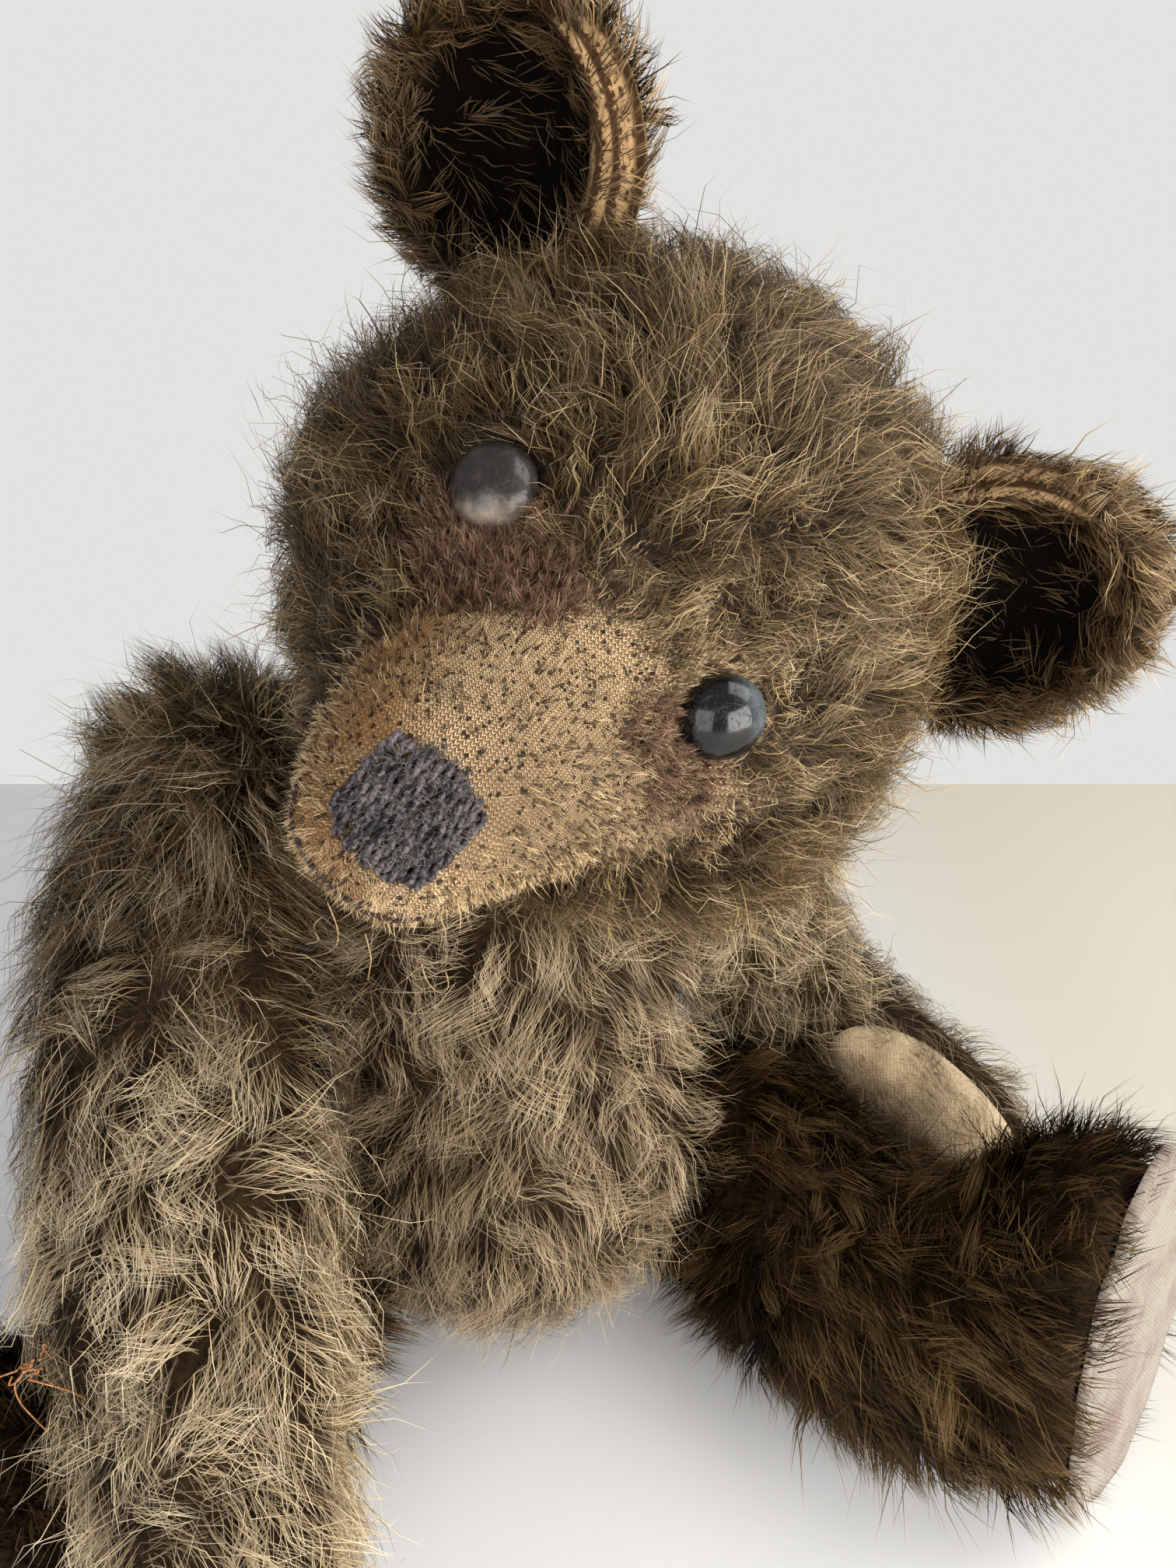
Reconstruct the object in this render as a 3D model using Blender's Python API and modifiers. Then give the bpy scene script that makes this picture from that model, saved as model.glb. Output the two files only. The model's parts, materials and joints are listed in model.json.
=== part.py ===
"""Threadbare jointed teddy bear, sitting with its head tipped towards its left shoulder.

The bear faces -Y, +X is its own left, +Z is up, and the origin is on the table under the middle
of the body. The body, head, arms and legs are separate stuffed pieces. Fibreboard discs inside
them are held face to face by steel washers and split pins. Lengths are written in millimetres
and multiplied by MM.
"""
import math

import bmesh
import bpy
from mathutils import Matrix, Vector

MM = 0.001

# Gaps and cloth
GAP = 0.3  # between pieces that touch
CLOTH = 1.5  # wall left between a disc pocket and the outside

# Disc joints, measured along the joint axis from the outer face of the cloth
DISC_THICK = 2.2
WASHER_THICK = 1.0
WASHER_RADIUS = 6.0
WIRE_RADIUS = 0.65  # split pin
LEG_SPREAD = 0.8  # half the distance between the two legs of a split pin
RING_RADIUS = 2.2  # ring of a split pin, to the middle of the wire
CURL_RADIUS = 1.9  # rolled ends of the pin
PIN_ROOM = 0.45  # round the pin's two legs
PIN_HOLE = LEG_SPREAD + WIRE_RADIUS + PIN_ROOM
WASHER_HOLE = PIN_HOLE - 0.15
WASHER_ROOM = 0.6  # round the washer in its pocket
RING_ROOM = 2.5  # beyond the ring in its pocket
CURL_LEVEL = 2.2  # middle of a rolled end, above the washer
CURL_END = 0.4
DISC_SIDES = 20
WASHER_SIDES = 16
CUTTER_SIZE = 400.0
CUTTER_START = -3.0  # a pocket's cutter begins this far outside the cloth

# Size of the squares in each stuffed skin
BODY_VOXEL = 8.5
HEAD_VOXEL = 7.0
LIMB_VOXEL = 7.5

# Body
BELLY = ((0, -5, 38), (39, 40, 45))  # centre, radii
CHEST = ((0, -3, 79), (38, 32, 40))
SEAT_LEVEL = 0.0
NECK_LEVEL = 110.5  # flat top of the body
NECK_FLAT = 12.5  # radius of that flat; the shoulders slope away from it
SHOULDER_FALL = 0.32  # drop per length outwards
SHOULDER_REACH = 70.0  # radius that the slope is cut to
ARM_DISC = 10.0
LEG_DISC = 12.0
NECK_DISC = 12.0

# Neck: two linked split pins; the head tips about the top of the lower ring
PIVOT = Vector((0, -6, 122))
LINK_SLACK = 0.8  # between the two rings
HEAD_SWIVEL = -38.0  # degrees, turned towards its right
HEAD_TIP = 38.0  # tipped towards its left shoulder
HEAD_NOD = -15.0  # muzzle raised
HEAD_LEVEL = 4.0  # flat underside of the head above the pivot
HEAD_CENTRE = 34.0  # middle of the head above the pivot

# Head, in the head's own frame with the origin at its middle
CRANIUM = ((0, 4, 1), (41.5, 42, 39.5))
CHEEKS = ((0, -8, -5), (42.5, 34.5, 32.5))
MUZZLE_ROOT = ((0, -30, -9), 20.5)
MUZZLE_TIP = ((0, -55.5, -13.5), 13.2)
EAR_PLACES = {"right": (-47, 2, 27), "left": (33, 2, 32)}
EAR_RADII = (18, 11, 19)
EAR_HOLLOW = ((0, -9, 2), (14.5, 13, 15.5))
EAR_TURN = 12.0  # degrees the hollows face outwards
EYE_PLACE = (17.0, -34.0, 9.0)
EYE_FACING = (0.40, -0.86, 0.30)
BUTTON_RADIUS = 4.9
BUTTON_DEPTH = 3.6
BUTTON_BACK = 0.8  # behind its widest ring
SEAT_ROOM = 0.35  # round the button in its seat
SEAT_DEPTH = 1.2
SHANK_RADIUS = 0.4
SHANK_LOOP = 1.5
SHANK_DROP = 4.2  # middle of the loop, behind the button
SHANK_ROOT = (1.0, -1.55)
SHANK_HOLE = (2.6, 6.8)  # radius, depth
NOSE_SIZE = (10.8, 10.2)  # across the muzzle, up the muzzle
NOSE_START = (0, -75, 1.5)  # flat patch in front of the muzzle, before it is laid on
NOSE_FACING = (0, -0.80, 0.60)
NOSE_WAIST = (0.10, 0.16)  # how far the corners pull in, across and up
NOSE_STITCHES = 15
NOSE_GAP = GAP + 0.25
NOSE_THICK = 1.3
STITCH_RISE = 0.4
MOUTH_TURN = 66.0  # degrees round the muzzle to each end
MOUTH_DIP = (-34.0, 20.0)  # degrees below level in the middle, rise to the ends
MOUTH_GAP = GAP + 0.85
MOUTH_RADIUS = 0.6

# Limbs: balls that the stuffed shape passes through, as (place, radius)
ARM_JOINT = Vector((28.5, 2.5, 93))
ARM_SLOPE = 6.0  # degrees the shoulder flats face upwards
RIGHT_ARM = (
    ((-39.0, 10, 110), 14.5),
    ((-42.5, 3, 98), 20.5),
    ((-47.5, -26, 92), 20.5),
    ((-48.5, -52, 77), 19.5),
    ((-43.5, -78, 60), 18.5),
    ((-38.0, -88, 50), 17.0),
)
LEFT_ARM = (
    ((42.5, 3, 92.5), 20.0),
    ((46.5, 4, 72), 18.5),
    ((55.5, 7, 50), 16.5),
    ((73.0, 6, 29.0), 15.5),
    ((92.5, -19.0, 17.5), 15.5),
)
LEG_JOINT = Vector((27.8, -11.5, 24))
LEG_SPLAY = 14.0  # degrees the hip flats face backwards
LEFT_LEG = (  # the right leg is its mirror image
    ((38, -12, 23), 22.0),
    ((47, -31, 22), 21.5),
    ((56, -46, 22), 21.5),
    ((68, -57, 23), 22.0),
    ((83.5, -66.5, 25), 22.5),
    ((86.5, -65, 49), 19.5),
)
SOLE_PLACE = (92.5, -71.5, 36.0)
SOLE_TURN = 33.0  # degrees the soles face outwards
SOLE_TILT = 13.0  # degrees they face upwards
SOLE_ROLL = 13.0  # degrees the toes lean outwards
SOLE_SIZE = (36.0, 69.0)
PAW_PLACES = {  # point on the arm's middle line, facing, along, size
    "right": ((-41, -82, 56), (0.90, 0.10, -0.35), (0.3, -0.8, -0.5), (25.0, 36.0)),
    "left": ((86.5, -12, 20.8), (-0.42, -0.60, 0.68), (0.6, -0.72, -0.35), (25.0, 42.0)),
}
PAW_GAP = 0.9  # between the pad's corners and the arm, so that its flats clear the skin
PAW_LIFT = 22.0  # flat paw pad above the middle of the arm before it is wrapped round
PAD_THICK = 1.3

FINISHES = {  # colour, roughness, metallic
    "mohair": ((0.115, 0.078, 0.040, 1), 0.95, 0.0),
    "felt": ((0.62, 0.52, 0.38, 1), 0.95, 0.0),
    "yarn": ((0.045, 0.034, 0.040, 1), 0.85, 0.0),
    "eye": ((0.020, 0.018, 0.017, 1), 0.25, 0.0),
    "board": ((0.26, 0.15, 0.07, 1), 0.85, 0.0),
    "steel": ((0.55, 0.55, 0.56, 1), 0.35, 1.0),
}


def clear_scene():
    for ob in list(bpy.data.objects):
        bpy.data.objects.remove(ob, do_unlink=True)


def new_collection(name):
    group = bpy.data.collections.new(name)
    bpy.context.scene.collection.children.link(group)
    return group


clear_scene()
BEAR = new_collection("threadbare_teddy_bear")
CUTTERS = new_collection("cutters")


# Objects, finishes and frames


def finish(ob, kind):
    """Gives the object a material of its own."""
    colour, roughness, metallic = FINISHES[kind]
    mat = bpy.data.materials.new(f"{ob.name}_{kind}")
    mat.use_nodes = True
    shader = mat.node_tree.nodes["Principled BSDF"]
    shader.inputs["Base Color"].default_value = colour
    shader.inputs["Roughness"].default_value = roughness
    shader.inputs["Metallic"].default_value = metallic
    ob.data.materials.append(mat)


def add_object(name, data, parent=None, kind=None, matrix=None):
    """Adds a piece, or a cutter if it has no finish. The matrix is in the parent's frame."""
    ob = bpy.data.objects.new(name, data)
    (BEAR if kind else CUTTERS).objects.link(ob)
    ob.parent = parent
    if matrix is not None:
        ob.matrix_local = matrix
    if kind:
        finish(ob, kind)
    else:
        ob.hide_render = True
        ob.display_type = "WIRE"
    return ob


def add_frame(name, matrix, parent=None):
    """An empty that pieces hang from, placed on their joint's axis."""
    empty = bpy.data.objects.new(name, None)
    BEAR.objects.link(empty)
    empty.parent = parent
    empty.matrix_local = matrix
    bpy.context.view_layer.update()
    return empty


def axis_frame(place, axis, towards=(0, 0, 1)):
    """A frame at a place in millimetres, with Z along the axis and Y as near as it can be to towards."""
    z = Vector(axis).normalized()
    if abs(Vector(towards).normalized().dot(z)) > 0.99:
        towards = (0, 1, 0)
    x = Vector(towards).cross(z).normalized()
    y = z.cross(x)
    turn = Matrix((x, y, z)).transposed().to_4x4()
    return Matrix.Translation(Vector(place) * MM) @ turn


def from_bmesh(name, bm):
    mesh = bpy.data.meshes.new(name)
    bm.to_mesh(mesh)
    bm.free()
    return mesh


# Modifiers


def smooth_shade(ob):
    ob.data.shade_smooth()
    ob.data.set_sharp_from_angle(angle=math.radians(50))


def remesh(ob, size):
    """Joins overlapping balls into one skin and evens it out."""
    skin = ob.modifiers.new("one_skin", "REMESH")
    skin.mode = "VOXEL"
    skin.voxel_size = size * MM
    even = ob.modifiers.new("even", "SMOOTH")
    even.factor = 0.5
    even.iterations = 2


def cut(ob, cutter):
    step = ob.modifiers.new(f"cut_{cutter.name}", "BOOLEAN")
    step.operation = "DIFFERENCE"
    step.solver = "EXACT"
    step.object = cutter


def thicken(ob, depth):
    """Thickens an open sheet on the side its faces point to."""
    wall = ob.modifiers.new("thickness", "SOLIDIFY")
    wall.thickness = depth * MM
    wall.offset = 1.0


def lay_on(ob, target, gap):
    """Moves a sheet down its own -Z onto the target."""
    press = ob.modifiers.new("lay_on", "SHRINKWRAP")
    press.target = target
    press.wrap_method = "PROJECT"
    press.wrap_mode = "ABOVE_SURFACE"
    press.use_project_z = True
    press.use_negative_direction = True
    press.use_positive_direction = False
    press.offset = gap * MM


def wrap_round(ob, target, gap):
    """Bends a sheet onto the nearest skin of the target."""
    bend = ob.modifiers.new("wrap_round", "SHRINKWRAP")
    bend.target = target
    bend.wrap_method = "NEAREST_SURFACEPOINT"
    bend.wrap_mode = "OUTSIDE_SURFACE"
    bend.offset = gap * MM


# Shapes


def ball_chain(balls, steps=4):
    """Balls between the given ones, so that a limb has no waists."""
    chain = []
    for (place, radius), (place_after, radius_after) in zip(balls, balls[1:]):
        for i in range(steps):
            t = i / steps
            middle = Vector(place).lerp(Vector(place_after), t)
            chain.append((middle, radius + (radius_after - radius) * t))
    chain.append(balls[-1])
    return chain


def add_ball(bm, centre, radii, segments=28, rings=16):
    if not hasattr(radii, "__len__"):
        radii = (radii, radii, radii)
    scale = Matrix.Diagonal((*(r * MM for r in radii), 1))
    place = Matrix.Translation(Vector(centre) * MM) @ scale
    bmesh.ops.create_uvsphere(bm, u_segments=segments, v_segments=rings, radius=1, matrix=place)


def stuffed(name, balls, parent, matrix, voxel):
    """A stuffed piece through a chain of balls, given in the frame of its matrix."""
    bm = bmesh.new()
    for centre, radii in balls:
        add_ball(bm, centre, radii)
    ob = add_object(name, from_bmesh(name, bm), parent, "mohair", matrix)
    remesh(ob, voxel)
    smooth_shade(ob)
    return ob


def turned(name, profile, parent=None, kind=None, matrix=None, sides=DISC_SIDES):
    """A turned piece from (radius, height) points that run down its outer side."""
    bm = bmesh.new()
    points = [bm.verts.new((r * MM, 0, z * MM)) for r, z in profile]
    closed = profile[0][0] > 0
    for a, b in zip(points, points[1:] + points[:1] if closed else points[1:]):
        bm.edges.new((a, b))
    ob = add_object(name, from_bmesh(name, bm), parent, kind, matrix)
    screw = ob.modifiers.new("turn", "SCREW")
    screw.steps = screw.render_steps = sides
    screw.use_merge_vertices = True
    screw.merge_threshold = 0.00001
    if kind:
        smooth_shade(ob)
    return ob


def ring_profile(inner, outer, low, high):
    """Section of a washer or disc, starting at its outer top edge."""
    return ((outer, high), (outer, low), (inner, low), (inner, high))


def wire(name, points, parent, kind, matrix, radius=WIRE_RADIUS, resolution=1):
    """A round wire along points in millimetres."""
    curve = bpy.data.curves.new(name, "CURVE")
    curve.dimensions = "3D"
    curve.bevel_depth = radius * MM
    curve.bevel_resolution = resolution
    curve.use_fill_caps = True
    spline = curve.splines.new("POLY")
    spline.points.add(len(points) - 1)
    for point, place in zip(spline.points, points):
        point.co = (*(Vector(place) * MM), 1)
    return add_object(name, curve, parent, kind, matrix)


def half_space(name, place, outward, parent=None):
    """A cutter that removes what lies beyond a plane."""
    size = CUTTER_SIZE * MM
    bm = bmesh.new()
    bmesh.ops.create_cube(bm, size=size, matrix=Matrix.Translation((0, 0, size / 2)))
    return add_object(name, from_bmesh(name, bm), parent, None, axis_frame(place, outward))


def oval_sheet(name, size, parent, matrix, kind, cells=7):
    """A flat oval sheet of a grid, facing its own +Z."""
    bm = bmesh.new()
    bmesh.ops.create_grid(bm, x_segments=cells, y_segments=cells, size=1)
    for v in bm.verts:
        u, w = v.co.x, v.co.y
        x = u * math.sqrt(1 - w * w / 2)
        y = w * math.sqrt(1 - u * u / 2)
        v.co = (x * size[0] / 2 * MM, y * size[1] / 2 * MM, 0)
    return add_object(name, from_bmesh(name, bm), parent, kind, matrix)


def arc(centre, radius, start, end, steps):
    """Points in a plane along an arc, with angles in degrees."""
    turns = [math.radians(start + (end - start) * i / steps) for i in range(steps + 1)]
    return [(centre[0] + radius * math.cos(a), centre[1] + radius * math.sin(a)) for a in turns]


# Disc joints


def disc_level():
    return CLOTH + GAP


def washer_level():
    return disc_level() + DISC_THICK + GAP


def wire_level():
    """Where the pin's wire bears on the washer."""
    return washer_level() + WASHER_THICK + GAP + WIRE_RADIUS


def pocket(name, disc_radius, matrix, parent=None):
    """Cutter for a pin hole, a disc pocket and a washer pocket behind the cloth."""
    pocket_low = disc_level() + DISC_THICK + GAP / 2
    core_low = wire_level() + 2 * RING_RADIUS + RING_ROOM
    core_radius = WASHER_RADIUS + WASHER_ROOM
    profile = (
        (0, core_low),
        (core_radius, core_low),
        (core_radius, pocket_low),
        (disc_radius + GAP, pocket_low),
        (disc_radius + GAP, CLOTH),
        (PIN_HOLE, CLOTH),
        (PIN_HOLE, CUTTER_START),
        (0, CUTTER_START),
    )
    return turned(name, profile, parent, None, matrix)


def disc_and_washer(tag, disc_radius, parent, matrix):
    """The disc and washer on one side of a joint, with +Z into the stuffing."""
    low = disc_level()
    disc = ring_profile(PIN_HOLE, disc_radius, low, low + DISC_THICK)
    turned(f"disc_{tag}", disc, parent, "board", matrix)
    low = washer_level()
    washer = ring_profile(WASHER_HOLE, WASHER_RADIUS, low, low + WASHER_THICK)
    turned(f"washer_{tag}", washer, parent, "steel", matrix, sides=WASHER_SIDES)


def pin_ring(level):
    """Half of a split pin's ring and its first leg point, from the left leg round to the right."""
    side = math.degrees(math.asin(LEG_SPREAD / RING_RADIUS))
    return arc((0, level + RING_RADIUS), RING_RADIUS, 270 - side, -90 + side, 7)


def pin_curls(level):
    """The rolled ends, from the right leg outwards. The level is that of the wire on the washer."""
    roll = arc((LEG_SPREAD + CURL_RADIUS, level + CURL_LEVEL), CURL_RADIUS, 180, 0, 3)
    return roll + [(LEG_SPREAD + 2 * CURL_RADIUS, level + CURL_END)]


def split_pin(name, ring_level, curl_level, parent, matrix):
    """A split pin with its ring towards +Z and its rolled ends towards -Z."""
    ring = pin_ring(ring_level)
    right = [(x, -z) for x, z in pin_curls(curl_level)]
    left = [(-x, z) for x, z in reversed(right)]
    path = [(x, 0, z) for x, z in left + ring + right]
    wire(name, path, parent, "steel", matrix)


def limb_joint(tag, disc_radius, limb, body, frame):
    """Hardware of a limb's disc joint. The frame's +Z points from the body into the limb."""
    into_body = Matrix.Rotation(math.pi, 4, "X")
    body_matrix = body["frame"].matrix_world.inverted() @ frame.matrix_world @ into_body
    cut(limb, pocket(f"cut_pocket_{tag}", disc_radius, frame.matrix_world))
    cut(body["torso"], pocket(f"cut_pocket_body_{tag}", disc_radius, frame.matrix_world @ into_body))
    disc_and_washer(tag, disc_radius, frame, Matrix.Identity(4))
    disc_and_washer(f"body_{tag}", disc_radius, body["frame"], body_matrix)
    split_pin(f"pin_{tag}", wire_level(), wire_level(), frame, Matrix.Rotation(math.pi / 2, 4, "Z"))


# Body


def make_torso():
    frame = add_frame("body_frame", Matrix.Identity(4))
    torso = stuffed("torso", [BELLY, CHEST], frame, Matrix.Identity(4), BODY_VOXEL)
    cut(torso, half_space("cut_seat", (0, 0, SEAT_LEVEL), (0, 0, -1)))
    slope = (
        (0, NECK_LEVEL + SHOULDER_REACH),
        (SHOULDER_REACH, NECK_LEVEL + SHOULDER_REACH),
        (SHOULDER_REACH, NECK_LEVEL - (SHOULDER_REACH - NECK_FLAT) * SHOULDER_FALL),
        (NECK_FLAT, NECK_LEVEL),
        (0, NECK_LEVEL),
    )
    above = turned("cut_neck", slope, matrix=Matrix.Translation((0, PIVOT.y * MM, 0)), sides=32)
    cut(torso, above)
    return {"frame": frame, "torso": torso}


# Arms and legs


def make_limb(tag, balls, joint, outward, disc_radius, body):
    """A stuffed limb with a flat at its joint, where the body gets a facing flat."""
    frame = add_frame(f"joint_{tag}", axis_frame(joint, outward))
    back = frame.matrix_world.inverted()
    local = [((back @ (Vector(p) * MM)) / MM, r) for p, r in ball_chain(balls)]
    limb = stuffed(tag, local, frame, Matrix.Identity(4), LIMB_VOXEL)
    outward = Vector(outward).normalized()
    cut(limb, half_space(f"cut_flat_{tag}", joint + outward * GAP / 2, -outward))
    cut(body["torso"], half_space(f"cut_flat_body_{tag}", joint - outward * GAP / 2, outward))
    limb_joint(tag, disc_radius, limb, body, frame)
    return limb, frame


def make_arms(body):
    slope = math.radians(ARM_SLOPE)
    for tag, sign, balls in (("right", -1, RIGHT_ARM), ("left", 1, LEFT_ARM)):
        joint = Vector((sign * ARM_JOINT.x, ARM_JOINT.y, ARM_JOINT.z))
        outward = (sign * math.cos(slope), 0, math.sin(slope))
        arm, frame = make_limb(f"arm_{tag}", balls, joint, outward, ARM_DISC, body)
        middle, facing, along, size = PAW_PLACES[tag]
        start = Vector(middle) + Vector(facing).normalized() * PAW_LIFT
        place = frame.matrix_world.inverted() @ axis_frame(start, facing, along)
        pad = oval_sheet(f"paw_pad_{tag}", size, frame, place, "felt")
        wrap_round(pad, arm, PAW_GAP)
        thicken(pad, PAD_THICK)


def mirrored(place, sign):
    return Vector((sign * place[0], place[1], place[2]))


def make_legs(body):
    splay = math.radians(LEG_SPLAY)
    turn = Matrix.Rotation(math.radians(SOLE_TURN), 3, "Z")
    tilt = Matrix.Rotation(math.radians(-SOLE_TILT), 3, "X")
    roll = Matrix.Rotation(math.radians(SOLE_ROLL), 3, "Y")
    facing = turn @ tilt @ Vector((0, -1, 0))
    upright = turn @ tilt @ roll @ Vector((0, 0, 1))
    for tag, sign in (("right", -1), ("left", 1)):
        joint = mirrored(LEG_JOINT, sign)
        outward = mirrored((math.cos(splay), math.sin(splay), 0), sign)
        balls = [(mirrored(place, sign), radius) for place, radius in LEFT_LEG]
        leg, frame = make_limb(f"leg_{tag}", balls, joint, outward, LEG_DISC, body)
        cut(leg, half_space(f"cut_floor_{tag}", (0, 0, SEAT_LEVEL), (0, 0, -1)))
        sole = mirrored(SOLE_PLACE, sign)
        along = mirrored(facing, sign)
        cut(leg, half_space(f"cut_sole_{tag}", sole, along))
        place = axis_frame(sole + along * GAP, along, mirrored(upright, sign))
        local = frame.matrix_world.inverted() @ place
        pad = oval_sheet(f"foot_pad_{tag}", SOLE_SIZE, frame, local, "felt", cells=5)
        thicken(pad, PAD_THICK)


# Head


def head_turn():
    swivel = Matrix.Rotation(math.radians(HEAD_SWIVEL), 4, "Z")
    tip = Matrix.Rotation(math.radians(HEAD_TIP), 4, "Y")
    nod = Matrix.Rotation(math.radians(HEAD_NOD), 4, "X")
    return swivel @ tip @ nod


def make_head_shape(name, kind, frame):
    balls = [CRANIUM, CHEEKS] + ball_chain([MUZZLE_ROOT, MUZZLE_TIP], 5)
    middle = Matrix.Translation((0, 0, HEAD_CENTRE * MM))
    if kind:
        return stuffed(name, balls, frame, middle, HEAD_VOXEL)
    bm = bmesh.new()
    for centre, radii in balls:
        add_ball(bm, centre, radii)
    ob = add_object(name, from_bmesh(name, bm), frame, None, middle)
    remesh(ob, HEAD_VOXEL)
    return ob


def make_ears(head_frame):
    """Cupped ears, sewn to the head along their lower edge."""
    clearance = make_head_shape("cut_head", None, head_frame)
    swell = clearance.modifiers.new("clearance", "DISPLACE")
    swell.strength = (GAP + 0.1) * MM
    swell.mid_level = 0.0
    for tag, sign in (("right", -1), ("left", 1)):
        x, y, z = EAR_PLACES[tag]
        lean = math.atan2(x, z)
        place = Matrix.Translation(Vector((x, y, z + HEAD_CENTRE)) * MM)
        place = place @ Matrix.Rotation(lean, 4, "Y")
        place = place @ Matrix.Rotation(sign * math.radians(EAR_TURN), 4, "Z")
        bm = bmesh.new()
        add_ball(bm, (0, 0, 0), EAR_RADII, 20, 12)
        ear = add_object(f"ear_{tag}", from_bmesh(f"ear_{tag}", bm), head_frame, "mohair", place)
        bm = bmesh.new()
        add_ball(bm, *EAR_HOLLOW, 16, 10)
        hollow_name = f"cut_ear_{tag}"
        hollow = add_object(hollow_name, from_bmesh(hollow_name, bm), head_frame, None, place)
        cut(ear, hollow)
        cut(ear, clearance)
        smooth_shade(ear)


def eye_profile():
    """A domed boot button with a slightly rounded back."""
    dome = [
        (BUTTON_RADIUS * math.sin(math.radians(a)), BUTTON_DEPTH * math.cos(math.radians(a)))
        for a in (0, 18, 36, 54, 72, 90)
    ]
    return dome + [(0.9 * BUTTON_RADIUS, -0.75 * BUTTON_BACK), (0, -BUTTON_BACK)]


def make_eyes(head, head_frame):
    """Button eyes in shallow seats, with their wire shanks pulled into the head."""
    sockets = []
    for tag, sign in (("right", -1), ("left", 1)):
        x, y, z = EYE_PLACE
        place = Vector((sign * x, y, z + HEAD_CENTRE))
        frame = axis_frame(place, mirrored(EYE_FACING, sign))
        turned(f"eye_{tag}", eye_profile(), head_frame, "eye", frame, sides=20)
        loop = arc((0, -SHANK_DROP), SHANK_LOOP, 420, 120, 8)
        root_x, root_z = SHANK_ROOT
        shank = [(root_x, 0, root_z)] + [(a, 0, b) for a, b in loop] + [(-root_x, 0, root_z)]
        wire(f"eye_shank_{tag}", shank, head_frame, "steel", frame, SHANK_RADIUS)
        seat_radius = BUTTON_RADIUS + SEAT_ROOM
        hole_radius, hole_depth = SHANK_HOLE
        seat = (
            (0, 2 * seat_radius),
            (seat_radius, 2 * seat_radius),
            (seat_radius, -SEAT_DEPTH),
            (hole_radius, -SEAT_DEPTH),
            (hole_radius, -hole_depth),
            (0, -hole_depth),
        )
        sockets.append(turned(f"cut_eye_{tag}", seat, head_frame, None, frame, sides=20))
    for socket in sockets:
        cut(head, socket)


def make_nose(head, head_frame):
    """A patch of upright yarn stitches over the end of the muzzle."""
    columns, rows = 2 * NOSE_STITCHES, 5
    bm = bmesh.new()
    bmesh.ops.create_grid(bm, x_segments=columns, y_segments=rows, size=1)
    crests = [v.index for v in bm.verts if round((v.co.x + 1) / 2 * columns) % 2 == 1]
    for v in bm.verts:
        u, w = v.co.x, v.co.y
        x = u * (1 - NOSE_WAIST[0] * w * w)
        y = w * (1 - NOSE_WAIST[1] * u * u)
        v.co = (x * NOSE_SIZE[0] / 2 * MM, y * NOSE_SIZE[1] / 2 * MM, 0)
    place = axis_frame(Vector(NOSE_START) + Vector((0, 0, HEAD_CENTRE)), NOSE_FACING)
    nose = add_object("nose_stitching", from_bmesh("nose_stitching", bm), head_frame, "yarn", place)
    lay_on(nose, head, NOSE_GAP)
    nose.vertex_groups.new(name="crests").add(crests, 1.0, "REPLACE")
    raise_rows = nose.modifiers.new("crests", "DISPLACE")
    raise_rows.vertex_group = "crests"
    raise_rows.strength = STITCH_RISE * MM
    raise_rows.mid_level = 0.0
    thicken(nose, NOSE_THICK)


def make_mouth(head, head_frame):
    """One yarn line round the lower front of the muzzle, laid just proud of the cloth."""
    bpy.context.view_layer.update()
    shape = head.evaluated_get(bpy.context.evaluated_depsgraph_get())
    (cx, cy, cz), radius = MUZZLE_TIP
    points = []
    steps = 16
    for i in range(steps + 1):
        t = 2 * i / steps - 1
        turn = math.radians(MOUTH_TURN) * t
        dip = math.radians(MOUTH_DIP[0] + MOUTH_DIP[1] * t * t)
        out = Vector((math.sin(turn) * math.cos(dip), -math.cos(turn) * math.cos(dip), math.sin(dip)))
        guess = (Vector((cx, cy, cz)) + out * radius) * MM
        _, on_skin, _, _ = shape.closest_point_on_mesh(guess)
        points.append(on_skin / MM + out * MOUTH_GAP)
    middle = Matrix.Translation((0, 0, HEAD_CENTRE * MM))
    wire("mouth_stitching", points, head_frame, "yarn", middle, MOUTH_RADIUS)


def make_neck(head, head_frame, body):
    """Two split pins linked through their rings, one in the body and one in the head."""
    down = Matrix.Rotation(math.pi, 4, "X")
    across = Matrix.Rotation(math.pi / 2, 4, "Z")
    body_face = Matrix.Translation((0, PIVOT.y * MM, NECK_LEVEL * MM)) @ down
    cut(body["torso"], pocket("cut_pocket_body_neck", NECK_DISC, body_face))
    disc_and_washer("body_neck", NECK_DISC, body["frame"], body_face)
    head_face = Matrix.Translation((0, 0, HEAD_LEVEL * MM))
    cut(head, pocket("cut_pocket_neck", NECK_DISC, head_face, head_frame))
    disc_and_washer("head_neck", NECK_DISC, head_frame, head_face)

    link_frame = add_frame(
        "neck_link_frame",
        Matrix.Translation(PIVOT * MM) @ Matrix.Rotation(math.radians(HEAD_SWIVEL), 4, "Z"),
    )
    lower_ring = -2 * RING_RADIUS
    lower_curl = PIVOT.z - NECK_LEVEL + wire_level()
    split_pin("pin_body_neck", lower_ring, lower_curl, link_frame, across)
    ring_drop = 2 * WIRE_RADIUS + LINK_SLACK
    upper_ring = ring_drop - 2 * RING_RADIUS
    upper_curl = HEAD_LEVEL + wire_level()
    split_pin("pin_head_neck", upper_ring, upper_curl, head_frame, down)


def make_head(body):
    frame = add_frame("head_frame", Matrix.Translation(PIVOT * MM) @ head_turn())
    head = make_head_shape("head", "mohair", frame)
    flat = half_space("cut_chin_flat", (0, 0, HEAD_LEVEL), (0, 0, -1), frame)
    make_ears(frame)
    make_nose(head, frame)
    make_mouth(head, frame)
    cut(head, flat)
    make_eyes(head, frame)
    make_neck(head, frame, body)


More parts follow.
